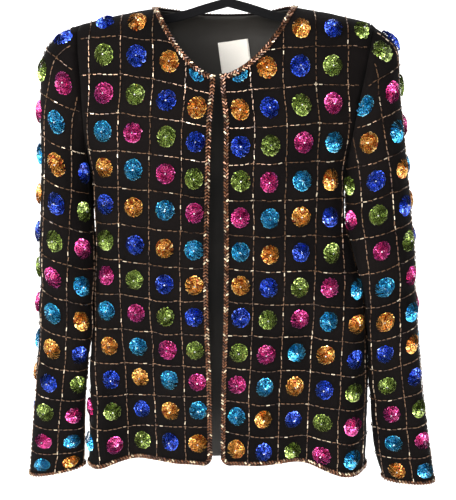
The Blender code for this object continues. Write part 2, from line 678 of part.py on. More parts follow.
def cap_crossing(side, along):
    """Row at which a line down the sleeve leaves the armhole, and its level."""
    def outside(row):
        outer, inner, deep, _ = sleeve_ring(side, row)
        turn, length = ring_lengths(side, row)
        angle = float(np.interp(along % length[-1], length, turn))
        point = (outer + inner) / 2.0 + (outer - inner) / 2.0 * math.cos(angle)
        return point[0] - armhole_x(side, point[2]), point[2]
    low, high = 4.0, -1.0
    rows = np.linspace(low, high, 41)
    last = rows[0]
    for row in rows[1:]:
        if outside(row)[0] < 0.0:
            for _ in range(20):
                middle = (last + row) / 2.0
                if outside(middle)[0] < 0.0:
                    row = middle
                else:
                    last = middle
            break
        last = row
    return float(last), float(outside(last)[1])


def sleeve_phase(side, row):
    """Where the middle column of rosettes lies at a row of a sleeve, in cells from the outer line."""
    return float(smooth_value(SLEEVE_DRIFT, row, side_column(side)))


def sleeve_cap(side):
    """Cap edge of a sleeve, matched to the armhole: pattern points and the armhole's own points."""
    half = sleeve_circumference(side, FOOT_ROW) / 2.0
    points = []
    armhole = armhole_line(side)
    for face, column in ((1.0, 1), (-1.0, 2)):
        alongs = np.linspace(0.0, half, 60)
        crossings = [cap_crossing(side, face * a) for a in alongs]
        levels = np.array([level for _, level in crossings])
        rows = np.array([row for row, _ in crossings])
        lowest = levels.min()
        low = levels < FOOT_START
        levels[low] = FOOT_START + (levels[low] - FOOT_START) * (UNDERARM_LEVEL - FOOT_START) / (lowest - FOOT_START)
        order = np.argsort(levels)
        for step, (x, v) in enumerate(armhole):
            if column == 1:
                place = front_point(side, along_at(side, x, v, 1) - side * front_edge_x(side, v), v)
            else:
                place = back_point(side * along_at(side, x, v, 2), v)
            share = float(np.interp(place[2], levels[order], alongs[order])) if step else 0.0
            row = float(np.interp(place[2], levels[order], rows[order]))
            points.append((face * share, row, place))
    return points


def cap_points(side):
    """The cap edge in order, from the seam over the back, tip and front to the seam again."""
    points = sleeve_cap(side)
    steps = len(ARMHOLE_STEPS)
    front, back = points[:steps], points[steps:]
    seam = back[SLEEVE_SEAM_STEP]
    ring = sleeve_circumference(side, seam[1])
    before = list(reversed(back[1:SLEEVE_SEAM_STEP]))
    after = [(a + ring, row, place) for a, row, place in reversed(back[SLEEVE_SEAM_STEP + 1:-1])]
    ordered = [seam] + before + front + after + [(seam[0] + ring, seam[1], seam[2])]
    shift = np.array((0.0, SEAM_HALF_GAP, 0.0))
    ordered[0] = (ordered[0][0], ordered[0][1], np.array(seam[2]) + shift)
    ordered[-1] = (ordered[-1][0], ordered[-1][1], np.array(seam[2]) - shift)
    return ordered


def make_sleeve(side, name):
    """A sleeve: cap edge on the armhole, one seam under the arm, five columns of rosettes."""
    cap = cap_points(side)
    share = abs(cap[0][0]) / (cap[-1][0] - cap[0][0])
    rows = [float(r) for r in range(-1, int(CUFF_ROW) + 1)]

    def start(row):
        return -share * sleeve_circumference(side, row) + SEAM_HALF_GAP

    def end(row):
        return (1.0 - share) * sleeve_circumference(side, row) - SEAM_HALF_GAP

    across = [0.5 * k * CELL_WIDE for k in range(-6, 9)]
    surface = Surface(lambda a, r: sleeve_point(side, a, r), across, rows, side)
    centre = np.mean([place for _, _, place in cap], axis=0)
    own = {}
    for a, row, place in cap:
        rise = min(max((place[2] - UNDERARM_LEVEL) / 0.06, 0.0), 1.0)
        away = np.array((0.0, place[1] - centre[1], place[2] - centre[2]))
        normal = away / np.linalg.norm(away) * rise + np.array((-side, 0.0, 0.0)) * (1.0 - rise)
        position = np.array((side * (abs(place[0]) + 2.0 * SEAM_HALF_GAP), place[1], place[2]))
        own[round(a, 6), round(row, 4)] = (position, normal / np.linalg.norm(normal))

    def edge_point(a, row, height):
        key = (round(a, 6), round(row, 4))
        if key in own:
            return own[key][0] + own[key][1] * height
        return surface.exact(a, row, height)

    lower = [r for r in rows if r > cap[0][1] + 0.5]
    left = [(start(r), r) for r in lower]
    right = [(end(r), r) for r in lower]
    cuff = [(a, CUFF_ROW) for a in across if start(CUFF_ROW) + 0.006 < a < end(CUFF_ROW) - 0.006]
    outline = [(a, r) for a, r, _ in reversed(cap)] + left + cuff + list(reversed(right))
    centres = []
    for row in range(-1, int(CUFF_ROW)):
        for column in range(-1, 4):
            along = (column + sleeve_phase(side, row + 0.5)) * CELL_WIDE
            point = sleeve_point(side, along, row + 0.5)
            if abs(point[0]) - body_limit(side, point[2]) > SLEEVE_ROSETTE_CLEAR:
                centres.append((along, row + 0.5))
    cloth_wall(name, surface, outline, (across, rows), centres, BLACK_CLOTH,
               scale=SLEEVE_SCALE, edge_point=edge_point)
    return surface, [(a, r) for a, r in left[-1:] + cuff + right[-1:]]


def strip(name, outer_line, inner_line, colour):
    """A braid: a flat band between an edge line and a line inside it, given low and high."""
    verts = []
    for (edge_low, edge_high), (in_low, in_high) in zip(outer_line, inner_line):
        verts += [edge_low, in_low, in_high, edge_high]
    faces = [(0, 1, 2, 3)]
    count = len(outer_line)
    for k in range(count - 1):
        for c in range(4):
            here, ahead = 4 * k + c, 4 * k + (c + 1) % 4
            faces += [(here, here + 4, ahead), (ahead, here + 4, ahead + 4)]
    last = 4 * (count - 1)
    faces.append((last + 3, last + 2, last + 1, last))
    return solid(name, verts, faces, colour, roughness=0.4, metallic=0.7)


def braid(name, surface, line, inward, ends, scale=1.0, lift=BRAID_LIFT):
    """A braid along a pattern line. inward is +1 or -1, the side of the line it lies on."""
    low, high = lift, lift + BRAID_THICK
    flat = [(a, v / scale) for a, v in line]
    outer_line, inner_line = [], []
    for k, (a, v) in enumerate(flat):
        before, after = flat[max(k - 1, 0)], flat[min(k + 1, len(flat) - 1)]
        run = np.array((after[0] - before[0], after[1] - before[1]))
        run /= np.linalg.norm(run)
        inner = (a - run[1] * inward * BRAID_WIDE, v + run[0] * inward * BRAID_WIDE)
        read = surface.at
        if k in (0, len(flat) - 1):
            inner = ends[0] if k == 0 else ends[1]
            read = surface.exact
        outer_line.append([surface.exact(a, v * scale, h) for h in (low, high)])
        inner_line.append([read(inner[0], inner[1] * scale, h) for h in (low, high)])
    return strip(name, outer_line, inner_line, BRONZE)


def make_braids(fronts, back, sleeves):
    gap = 2.0 * SEAM_HALF_GAP
    for side, name in ((-1, "trim_front_right"), (1, "trim_front_left")):
        outline = front_outline(side, gap)
        neck_count, shoulder_count = 8, len(SHOULDER_STEPS)
        armhole_count, seam_count = len(ARMHOLE_STEPS) - 2, len(SEAM_LEVELS)
        seam_foot = neck_count + shoulder_count + armhole_count + seam_count
        line = outline[seam_foot:] + outline[:neck_count + 1]
        foot = line[0]
        first = (front_length(side, foot[1] + BRAID_WIDE) - gap, foot[1] + BRAID_WIDE)
        shoulder_x = NECK_AT[side] + BRAID_WIDE
        level = ridge_pattern(shoulder_x) - gap
        last = (along_at(side, shoulder_x, level, 1) - side * front_edge_x(side, level), level)
        braid(name, fronts[side], line, -1, ends=(first, last))
    outline = back_outline(gap)
    neck = [outline[-1]] + outline[:12]
    ends = []
    for side in (-1, 1):
        shoulder_x = NECK_AT[side] + BRAID_WIDE
        level = ridge_pattern(shoulder_x) - gap
        ends.append((side * along_at(side, shoulder_x, level, 2), level))
    braid("trim_back_neck", back, neck, -1, ends=tuple(ends))
    first_hem = 11 + len(SHOULDER_STEPS) + len(ARMHOLE_STEPS) - 2 + len(SEAM_LEVELS)
    last_hem = len(outline) - (len(SHOULDER_STEPS) + len(ARMHOLE_STEPS) - 2 + len(SEAM_LEVELS))
    hem = outline[first_hem:last_hem]
    ends = []
    for side, foot in ((1, hem[0]), (-1, hem[-1])):
        level = foot[1] + BRAID_WIDE
        ends.append((side * (back_length(side, level) - gap), level))
    braid("trim_back_hem", back, hem, -1, ends=tuple(ends))
    for side, name in ((-1, "trim_cuff_right"), (1, "trim_cuff_left")):
        surface, line = sleeves[side]
        line = [(line[0][0] + gap, line[0][1])] + line[1:-1] + [(line[-1][0] - gap, line[-1][1])]
        inner = [(a, (r / SLEEVE_SCALE) - BRAID_WIDE) for a, r in line]
        braid(name, surface, line, -1, (inner[0], inner[-1]), SLEEVE_SCALE, CUFF_BRAID_LIFT[side])


def make_label(back):
    """The blank label, inside the back neck, on the lining."""
    low = -WALL - LINING_GAP - LINING_WALL - LABEL_GAP
    cos, sin = math.cos(LABEL_TILT), math.sin(LABEL_TILT)
    steps = 5
    verts = []
    for height in (low, low - LABEL_THICK):
        for i in range(steps):
            for j in range(steps):
                u = (i / (steps - 1.0) - 0.5) * LABEL_SIZE[0]
                w = (j / (steps - 1.0) - 0.5) * LABEL_SIZE[1]
                verts.append(back.at(LABEL_CENTRE[0] + u * cos - w * sin,
                                     LABEL_CENTRE[1] + u * sin + w * cos, height))
    faces = []
    side = steps * steps
    for i in range(steps - 1):
        for j in range(steps - 1):
            a = i * steps + j
            faces += [(a, a + steps, a + steps + 1), (a, a + steps + 1, a + 1)]
            faces += [(side + a, side + a + steps + 1, side + a + steps), (side + a, side + a + 1, side + a + steps + 1)]
    ring = [j for j in range(steps)] + [i * steps + steps - 1 for i in range(1, steps)]
    ring += [(steps - 1) * steps + j for j in range(steps - 2, -1, -1)] + [i * steps for i in range(steps - 2, 0, -1)]
    for here, ahead in zip(ring, ring[1:] + ring[:1]):
        faces += [(here, ahead, side + ahead), (here, side + ahead, side + here)]
    solid("label", verts, faces, LABEL_WHITE)


def arm_top(x):
    """Top of the hanger's arm. Near its end it follows the shoulder from just under the cloth."""
    x = abs(x)
    under_cloth = ridge_level(x) - WALL - LINING_GAP - LINING_WALL - ARM_TOUCH
    if x >= ARM_PROFILE[-1][0]:
        blend = min((x - ARM_PROFILE[-1][0]) / 0.02, 1.0)
        start = ARM_PROFILE[-1][1]
        return start + (under_cloth - start) * blend
    return smooth_value(ARM_PROFILE, x, 1)


def make_hanger():
    """Thin arms that carry the shoulders, and the wire hook that they hang from."""
    steps = 36
    verts, faces = [], []
    half = ARM_THICK / 2.0
    for k in range(steps + 1):
        x = ARM_HALF_LENGTH * (2.0 * k / steps - 1.0)
        top = arm_top(x)
        end = max(abs(x) - (ARM_HALF_LENGTH - 0.012), 0.0) / 0.012
        high = ARM_HIGH * (1.0 - 0.45 * end ** 2)
        ring = [(-half * 0.5, 0.0), (half * 0.5, 0.0), (half, -0.0012), (half, -high + 0.0012),
                (half * 0.5, -high), (-half * 0.5, -high), (-half, -high + 0.0012), (-half, -0.0012)]
        verts += [(x, y, top + z) for y, z in ring]
    for k in range(steps):
        for c in range(8):
            here, ahead = 8 * k + c, 8 * k + (c + 1) % 8
            faces += [(here, ahead, here + 8), (ahead, ahead + 8, here + 8)]
    last = 8 * steps
    faces += [tuple(reversed(range(8))), tuple(range(last, last + 8))]
    solid("hanger_arms", verts, faces, HANGER_BLACK, roughness=0.45)
    wire = HOOK_WIRE / 2.0
    centre = HOOK_RADIUS + wire
    path = [(centre * math.cos(math.radians(t)), -HOOK_RADIUS + centre * math.sin(math.radians(t)))
            for t in range(205, -50, -15)]
    stem_foot = arm_top(0.0) + 0.0003
    path += [(0.0075, -0.0385), (0.0022, -0.0455), (0.0, -0.055), (0.0, -0.070), (0.0, stem_foot)]
    sides = 8
    verts, faces = [], []
    for k, (x, z) in enumerate(path):
        before, after = path[max(k - 1, 0)], path[min(k + 1, len(path) - 1)]
        run = Vector((after[0] - before[0], 0.0, after[1] - before[1])).normalized()
        if k == len(path) - 1:
            run = Vector((0.0, 0.0, -1.0))
        across = Vector((0.0, 1.0, 0.0))
        up = run.cross(across)
        for c in range(sides):
            turn = 2.0 * math.pi * c / sides
            verts.append(Vector((x, 0.0, z)) + across * math.cos(turn) * wire + up * math.sin(turn) * wire)
    for k in range(len(path) - 1):
        for c in range(sides):
            here, ahead = sides * k + c, sides * k + (c + 1) % sides
            faces += [(here, here + sides, ahead), (ahead, here + sides, ahead + sides)]
    last = sides * (len(path) - 1)
    faces += [tuple(range(sides)), tuple(reversed(range(last, last + sides)))]
    solid("hanger_hook", verts, faces, HANGER_BLACK, roughness=0.35, metallic=0.6)


def main():
    clear_scene()
    fronts = make_fronts()
    back = make_back()
    sleeves = {side: make_sleeve(side, name) for side, name in ((-1, "sleeve_right"), (1, "sleeve_left"))}
    make_braids(fronts, back, sleeves)
    make_label(back)
    make_hanger()


main()
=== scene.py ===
# %% [markdown]
# # An evening jacket of sequin rosettes
# The jacket is black cloth that hangs open on a thin hanger. Beads mark it out in a windowpane of
# squares, and each square holds one rosette of overlapping sequins. The first cell loads the solid
# model that everything here is fitted to. The dressed jacket may stand only a few millimetres
# proud of it.

# %% Load the solid jacket
import functools
import math

import bpy
import numpy as np
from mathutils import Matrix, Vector
from mathutils.geometry import delaunay_2d_cdt


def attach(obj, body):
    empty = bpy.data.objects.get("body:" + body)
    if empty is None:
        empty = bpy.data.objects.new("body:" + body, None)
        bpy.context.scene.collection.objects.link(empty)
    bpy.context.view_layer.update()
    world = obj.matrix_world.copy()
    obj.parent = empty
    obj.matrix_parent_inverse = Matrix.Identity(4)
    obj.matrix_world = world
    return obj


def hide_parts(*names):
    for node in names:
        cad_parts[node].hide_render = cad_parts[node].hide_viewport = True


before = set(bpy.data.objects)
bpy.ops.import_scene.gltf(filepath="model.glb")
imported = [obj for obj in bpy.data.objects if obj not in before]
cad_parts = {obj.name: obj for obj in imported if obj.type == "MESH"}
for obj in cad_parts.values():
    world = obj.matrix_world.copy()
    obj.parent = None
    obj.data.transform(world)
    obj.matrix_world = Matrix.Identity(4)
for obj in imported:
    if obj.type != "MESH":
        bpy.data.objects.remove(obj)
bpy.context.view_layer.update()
dice = np.random.default_rng(7)
print("solid jacket:", sorted(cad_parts))

# %% [markdown]
# ## The cut of the jacket
# A tailor thinks in flat patterns: so far along the cloth from an edge, so far down. Every bead and
# sequin here is placed on such a flat pattern, and one function then wraps the pattern round the
# body. These are the sizes of that cut, in metres. The wearer's right is side -1 and lies at -X.

# %% Driving sizes
CELL_WIDE = 0.042
CELL_HIGH = 0.048
FIRST_COLUMN = {-1: 0.90, 1: 0.94}     # front edge to the first upright bead line, in cells
FIRST_ROSETTE = {-1: 0.48, 1: 0.53}    # front edge to the first column of rosettes, in cells
FIRST_ROW_LEVEL = -0.143     # level of the top bead line
BODY_ROWS = 12
HEM_LEVEL = -0.7305
WALL = 0.002
LINING_GAP = 0.0009
LINING_WALL = 0.0012
SEAM_HALF_GAP = 0.0002
NECK_AT = {-1: 0.093, 1: 0.085}        # middle to the neck end of each shoulder seam
FRONT_NECK_LEVEL = -0.186
BACK_NECK_DROP = 0.016
BACK_NECK_STEP = 0.010
NECK_CURVE = 1.30            # 1 is a quarter ellipse, more is a straighter neckline
SECTION_POWER = 3.0          # 2 is an ellipse, more is a squarer section
RIDGE_AT_NECK = -0.100
RIDGE_AT_TIP = -0.120
TIP_HALF = 0.192             # middle to the shoulder tip
ROUND_DROP = 0.040           # height of the turn over the shoulder
ROUND_LENGTH = 0.066         # and the cloth that it takes
UNDERARM_LEVEL = -0.315
ARMHOLE_CLOSING = 0.075
ROW_SHIFT = {-1: 0.002, 0: -0.002, 1: -0.006}    # rows of the two fronts and the back (0)
FRONT_CORNER = 0.014
CLOTH_STEP = 0.006           # distance between the points of a cloth panel
SURFACE_STEP = 0.004         # distance between the points at which a wrapped surface is kept

# Body sections: level, front half depth, back half depth
DEPTHS = ((-0.080, 0.046, 0.040), (-0.200, 0.056, 0.046), (-0.315, 0.060, 0.050),
          (-0.450, 0.055, 0.044), (-0.600, 0.046, 0.034), (-0.760, 0.040, 0.026))
# Half widths below the armholes: level, wearer's right, wearer's left
WIDTHS = ((-0.315, 0.186, 0.158), (-0.380, 0.183, 0.161), (-0.436, 0.184, 0.176), (-0.493, 0.188, 0.190),
          (-0.570, 0.1955, 0.199), (-0.640, 0.2005, 0.203), (-0.760, 0.204, 0.2025))
# Armholes: level, distance from the middle on the wearer's right, on the left
ARMHOLES = ((-0.080, 0.196, 0.190), (-0.120, 0.196, 0.188), (-0.200, 0.192, 0.175),
            (-0.250, 0.190, 0.166), (-0.300, 0.187, 0.159), (-0.400, 0.186, 0.157))
# Front edges: level, x on the wearer's right, on the left
EDGES = ((-0.080, -0.0160, -0.0110), (-0.190, -0.0160, -0.0105), (-0.240, -0.0205, -0.0058),
         (-0.300, -0.0228, -0.0060), (-0.480, -0.0265, -0.0058), (-0.620, -0.0230, -0.0095),
         (-0.760, -0.0225, -0.0110))
# Hanging folds: side (0 back), centre and half width in cells, forward at the hem
FOLDS = ((-1, 2.5, 0.85, -0.018), (-1, 4.0, 0.60, 0.014), (1, 1.3, 0.60, 0.006),
         (1, 2.6, 0.65, -0.007), (1, 4.2, 0.75, 0.025), (0, 1.4, 0.80, 0.006), (0, 3.3, 0.80, -0.007))
FOLD_START = -0.330
# Rise of the level bead lines: line from the top, rise at RISE_PLACES cells from the front edge
RISE_PLACES = (0.0, 1.5, 2.8, 4.8)
ROW_RISES = {
    -1: ((0, -0.020, -0.002, 0.004, 0.004),
         (1, -0.020, -0.004, 0.005, 0.004),
         (2, -0.013, -0.003, 0.004, 0.003),
         (4, -0.010, -0.002, 0.003, 0.003),
         (6, -0.009, -0.007, 0.000, 0.000),
         (9, -0.007, -0.006, -0.006, -0.006),
         (11, -0.002, -0.003, -0.009, -0.011),
         (12, -0.005, -0.006, -0.014, -0.016)),
    1: ((0, -0.010, -0.004, 0.000, 0.000),
        (1, -0.009, -0.005, 0.000, 0.000),
        (3, -0.006, -0.005, -0.002, -0.004),
        (6, -0.001, -0.006, -0.006, -0.014),
        (8, 0.001, -0.003, -0.004, -0.015),
        (10, -0.001, -0.007, -0.009, -0.016),
        (12, -0.002, -0.010, -0.012, -0.018))}
# Hem drop: cells from the front edge, drop
HEM_DROPS = ((0.0, 0.002), (1.5, 0.0), (3.0, 0.002), (4.2, 0.012), (5.2, 0.018), (7.0, 0.020), (11.0, 0.020))
# Sleeve rings: row, outer x and level, inner x and level, half depth, forward
SLEEVES = {
    -1: ((-1.0, 0.196, -0.119, 0.120, -0.190, 0.040, 0.000),
         (0.0, 0.240, -0.150, 0.150, -0.212, 0.043, 0.000),
         (1.0, 0.250, -0.200, 0.176, -0.236, 0.044, 0.002),
         (3.0, 0.253, -0.303, 0.1887, -0.330, 0.043, 0.006),
         (5.0, 0.259, -0.403, 0.183, -0.430, 0.039, 0.012),
         (7.0, 0.2625, -0.504, 0.1915, -0.528, 0.034, 0.016),
         (9.0, 0.272, -0.606, 0.2045, -0.620, 0.027, 0.018),
         (11.0, 0.284, -0.707, 0.209, -0.710, 0.020, 0.018),
         (12.0, 0.2905, -0.757, 0.210, -0.742, 0.017, 0.018)),
    1: ((-1.0, 0.190, -0.121, 0.115, -0.192, 0.040, 0.000),
        (0.0, 0.224, -0.150, 0.132, -0.214, 0.043, 0.000),
        (1.0, 0.229, -0.202, 0.148, -0.240, 0.046, 0.004),
        (3.0, 0.242, -0.306, 0.1607, -0.334, 0.046, 0.010),
        (5.0, 0.255, -0.408, 0.166, -0.438, 0.042, 0.014),
        (7.0, 0.2635, -0.510, 0.191, -0.536, 0.036, 0.018),
        (9.0, 0.2745, -0.612, 0.2045, -0.628, 0.028, 0.020),
        (11.0, 0.2915, -0.716, 0.215, -0.716, 0.020, 0.020),
        (12.0, 0.302, -0.767, 0.228, -0.762, 0.017, 0.020))}
# Sleeve rosette column nearest the outer line, in cells round from it: row, wearer's right, left
SLEEVE_DRIFT = ((-1.0, 0.55, 0.05),
                (0.5, 0.55, 0.02),
                (1.5, 0.38, -0.05),
                (2.5, 0.33, -0.14),
                (3.5, 0.27, -0.15),
                (4.5, 0.17, -0.24),
                (5.5, 0.07, -0.30),
                (7.5, -0.06, -0.30),
                (8.5, -0.16, -0.40),
                (9.5, -0.28, -0.50),
                (11.5, -0.35, -0.54),
                (13.0, -0.35, -0.54))
# Rows of squares against the rings above. They lie closer together towards the cuff.
SLEEVE_ROWS = {
    -1: ((-1.0, -1.0), (0.0, 0.01), (1.0, 1.10), (2.0, 2.19), (4.0, 4.30), (6.0, 6.345), (8.0, 8.40),
         (10.0, 10.33), (11.0, 11.17), (12.0, 12.0), (13.0, 13.0)),
    1: ((-1.0, -1.0), (0.0, 0.43), (1.0, 1.45), (2.0, 2.48), (4.0, 4.36), (6.0, 6.27), (8.0, 8.17),
        (10.0, 10.14), (11.0, 11.12), (12.0, 12.0), (13.0, 13.0))}
SLEEVE_CLEAR = 0.0005
SLEEVE_ROW = 0.0505          # metres down the sleeve for one row of cells
SLEEVE_SEAM_STEP = 7         # the back armhole's point at which the sleeve's seam starts
CUFF_ROW = 12.0
FOOT_ROW = 2.12              # the row level with the armhole's foot
FOOT_START = -0.250          # below it the cap is stretched to end at the foot
print("cells of", CELL_WIDE, "by", CELL_HIGH, "m,", BODY_ROWS, "rows")

# %% [markdown]
# ## Reading the cut
# A garment has no formula, but it has measurements at a few levels, as on a pattern card. A smooth
# curve through each column of such a card gives the measurement at any level in between. The
# sections of the body are rounded rectangles, flatter in front and behind than an ellipse.

# %% Curves through the measurements
def table_value(table, key, column):
    """Read a column of a measurement table, straight between its rows."""
    rows = sorted(table)
    return float(np.interp(key, [row[0] for row in rows], [row[column] for row in rows]))


@functools.lru_cache(maxsize=None)
def smooth_value(table, key, column):
    """Read a column of a measurement table through a smooth curve."""
    rows = sorted(table)
    keys = [row[0] for row in rows]
    key = min(max(key, keys[0]), keys[-1])
    i = min(max(int(np.searchsorted(keys, key)) - 1, 0), len(rows) - 2)
    before, start = rows[max(i - 1, 0)], rows[i]
    end, after = rows[i + 1], rows[min(i + 2, len(rows) - 1)]
    span = end[0] - start[0]
    t = (key - start[0]) / span
    leave = (end[column] - before[column]) / (end[0] - before[0])
    arrive = (after[column] - start[column]) / (after[0] - start[0])
    return ((2 * t**3 - 3 * t**2 + 1) * start[column] + (t**3 - 2 * t**2 + t) * span * leave
            + (3 * t**2 - 2 * t**3) * end[column] + (t**3 - t**2) * span * arrive)


def side_column(side):
    return 1 if side < 0 else 2


def ridge_level(x):
    """Level of the shoulder line at a distance from the middle."""
    share = min(max((abs(x) - NECK_AT[-1]) / (TIP_HALF - NECK_AT[-1]), -0.25), 1.2)
    return RIDGE_AT_NECK + (RIDGE_AT_TIP - RIDGE_AT_NECK) * share * (0.7 + 0.3 * max(share, 0.0))


def ridge_pattern(x):
    """Pattern level of the shoulder line, where the cloth turns over to the other face."""
    return ridge_level(x) - ROUND_DROP + ROUND_LENGTH


def armhole_x(side, level):
    return smooth_value(ARMHOLES, level, side_column(side))


def half_width(side, level):
    """Half width of the body's section. Beside the armhole it runs on to where the sleeve hangs."""
    if level <= UNDERARM_LEVEL:
        return smooth_value(WIDTHS, level, side_column(side))
    above = min((level - UNDERARM_LEVEL) / ARMHOLE_CLOSING, 1.0)
    share = 0.66 * math.sqrt(1.0 - (1.0 - above) ** 2)
    return armhole_x(side, level) / (1.0 - share ** SECTION_POWER) ** (1.0 / SECTION_POWER)


@functools.lru_cache(maxsize=None)
def quarter(width, depth):
    """Points and lengths along one quarter of a section, from the middle to the side line."""
    turn = np.linspace(0.0, math.pi / 2.0, 160)
    x = width * np.sin(turn) ** (2.0 / SECTION_POWER)
    y = depth * np.cos(turn) ** (2.0 / SECTION_POWER)
    x[0], y[-1] = 0.0, 0.0
    length = np.concatenate(([0.0], np.cumsum(np.hypot(np.diff(x), np.diff(y)))))
    return x, y, length


def quarter_point(width, depth, along):
    """Distance along a quarter, as x from the middle and y from the side line, and on past it."""
    x, y, length = quarter(width, depth)
    if along <= 0.0:
        return along, depth
    if along > length[-1]:
        return float(np.interp(2.0 * length[-1] - along, length, x)), length[-1] - along
    return float(np.interp(along, length, x)), float(np.interp(along, length, y))


def along_at(side, x, level, column):
    """Cloth from the middle to a distance x, on the front (column 1) or the back (column 2)."""
    xs, _, length = quarter(half_width(side, level), table_value(DEPTHS, level, column))
    return float(np.interp(x, xs, length))


def fold_shift(kind, along, room, level):
    """Forward shift of the cloth by its hanging folds. They die out at the side and the chest."""
    if level >= FOLD_START:
        return 0.0
    fade = ((FOLD_START - level) / (FOLD_START - HEM_LEVEL)) ** 1.4 * min(max(room / 0.035, 0.0), 1.0)
    cells = along / CELL_WIDE
    return fade * sum(forward * math.exp(-((cells - centre) / wide) ** 2)
                      for side, centre, wide, forward in FOLDS if side == kind)


def over_shoulder(x, y, level):
    """Lay the cloth over the shoulder where its level rises past the turn."""
    turn_start = ridge_level(x) - ROUND_DROP
    if level <= turn_start:
        return x, y, level
    turn = min((level - turn_start) / ROUND_LENGTH, 1.0) * math.pi / 2.0
    return x, y * math.cos(turn), turn_start + ROUND_DROP * math.sin(turn)


# %% [markdown]
# Three functions wrap the three kinds of panel: a front starts at its own opening edge, the back
# starts at the middle, and a sleeve is a stack of slanted oval rings, one for each row of squares.

# %% The three wrapped surfaces
def front_edge_x(side, level):
    return smooth_value(EDGES, level, side_column(side))


def front_length(side, level):
    depth = table_value(DEPTHS, level, 1)
    return quarter(half_width(side, level), depth)[2][-1] - side * front_edge_x(side, level)


def front_point(side, along, level):
    """Outer face of a front: along from its opening edge, at a level of the pattern."""
    width, depth = half_width(side, level), table_value(DEPTHS, level, 1)
    x, y = quarter_point(width, depth, along + side * front_edge_x(side, level))
    y += fold_shift(side, along, front_length(side, level) - along, level)
    return over_shoulder(side * x, -y, level)


def back_length(side, level):
    return quarter(half_width(side, level), table_value(DEPTHS, level, 2))[2][-1]


def back_point(along, level):
    """Outer face of the back: along from the middle, wearer's left positive."""
    side = 1 if along >= 0.0 else -1
    x, y = quarter_point(half_width(side, level), table_value(DEPTHS, level, 2), abs(along))
    y -= fold_shift(0, abs(along), back_length(side, level) - abs(along), level)
    return over_shoulder(side * x, y, level)


@functools.lru_cache(maxsize=None)
def sleeve_ring(side, row):
    """One ring of a sleeve: its ends in the front view, its centre line, and the cloth round it."""
    ring = table_value(SLEEVE_ROWS[side], row, 1)
    values = [smooth_value(SLEEVES[side], ring, column) for column in range(1, 7)]
    outer = np.array((values[0], 0.0, values[1]))
    inner = np.array((values[2], 0.0, values[3]))
    turn = np.linspace(0.0, 2.0 * math.pi, 361)
    half = np.linalg.norm(outer - inner) / 2.0
    steps = np.hypot(np.diff(half * np.cos(turn)), np.diff(values[4] * np.sin(turn)))
    return outer, inner, values[4], values[5], turn, np.concatenate(([0.0], np.cumsum(steps)))


def body_limit(side, level):
    """The side of the body, that a sleeve stays outside of."""
    if level > UNDERARM_LEVEL:
        return armhole_x(side, level) + 2.0 * SEAM_HALF_GAP
    below = min((UNDERARM_LEVEL - level) / 0.03, 1.0)
    return half_width(side, level) + 2.0 * SEAM_HALF_GAP + SLEEVE_CLEAR * below


def sleeve_raw_point(side, along, row):
    """A point of a sleeve's ring, before the body's side pushes it out."""
    outer, inner, deep, forward, turn, length = sleeve_ring(side, row)
    angle = float(np.interp(along % length[-1], length, turn))
    point = (outer + inner) / 2.0 + (outer - inner) / 2.0 * math.cos(angle)
    return float(point[0]), -deep * math.sin(angle) - forward, float(point[2])


def sleeve_point(side, along, row):
    """Outer face of a sleeve: along from its outer line, forward positive, at a row of squares."""
    x, y, z = sleeve_raw_point(side, along, row)
    return side * max(x, body_limit(side, z)), y, z


def sleeve_round(side, row):
    return float(sleeve_ring(side, row)[5][-1])


print("right front is", round(front_length(-1, -0.5), 3), "m wide at the waist, upper sleeve",
      round(sleeve_round(-1, 4.0), 3), "m round")

# %% [markdown]
# A wrapped surface is kept as a fine net of points, so that thousands of beads can be placed on it
# at once. Real cloth isn't as smooth as its cut: it puffs a little between the bead lines and falls
# in soft creases. Those are added to the net, outwards along its normals, and everything that is
# sewn on follows them.

# %% A net that pieces are laid on
class Net:
    """A wrapped pattern. across and down are even steps, outward is +1 or -1 for the normal."""

    def __init__(self, wrap, across, down, outward, relief):
        self.start = np.array((across[0], down[0]))
        self.step = np.array((across[1] - across[0], down[1] - down[0]))
        self.outward = outward
        self.points = np.array([[wrap(a, v) for v in down] for a in across])
        a, v = np.meshgrid(across, down, indexing="ij")
        self.points = self.points + self.face_out() * relief(a, v)[..., None]
        self.normals = self.face_out()

    def face_out(self):
        normal = np.cross(np.gradient(self.points, axis=0), np.gradient(self.points, axis=1)) * self.outward
        size = np.linalg.norm(normal, axis=2, keepdims=True)
        return normal / np.maximum(size, 1e-12)

    def read(self, grid, a, v):
        place = (np.stack((a, v), axis=-1) - self.start) / self.step
        low = np.clip(np.floor(place).astype(int), 0, np.array(grid.shape[:2]) - 2)
        s, t = np.moveaxis(place - low, -1, 0)[..., None]
        i, j = low[..., 0], low[..., 1]
        return ((1 - s) * (1 - t) * grid[i, j] + s * (1 - t) * grid[i + 1, j]
                + (1 - s) * t * grid[i, j + 1] + s * t * grid[i + 1, j + 1])

    def normal(self, a, v):
        normal = self.read(self.normals, np.asarray(a, float), np.asarray(v, float))
        return normal / np.linalg.norm(normal, axis=-1, keepdims=True)

    def at(self, a, v, height=0.0):
        a, v = np.asarray(a, float), np.asarray(v, float)
        height = np.asarray(height, float)[..., None]
        return self.read(self.points, a, v) + self.normal(a, v) * height

    def along(self, a, v, run_a, run_v):
        """Unit direction in space of a small run in the pattern."""
        a, v = np.asarray(a, float), np.asarray(v, float)
        size = np.maximum(np.hypot(run_a, run_v), 1e-9)
        da, dv = run_a / size * 0.002, run_v / size * 0.002
        run = self.at(a + da, v + dv) - self.at(a - da, v - dv)
        return run / np.linalg.norm(run, axis=-1, keepdims=True)


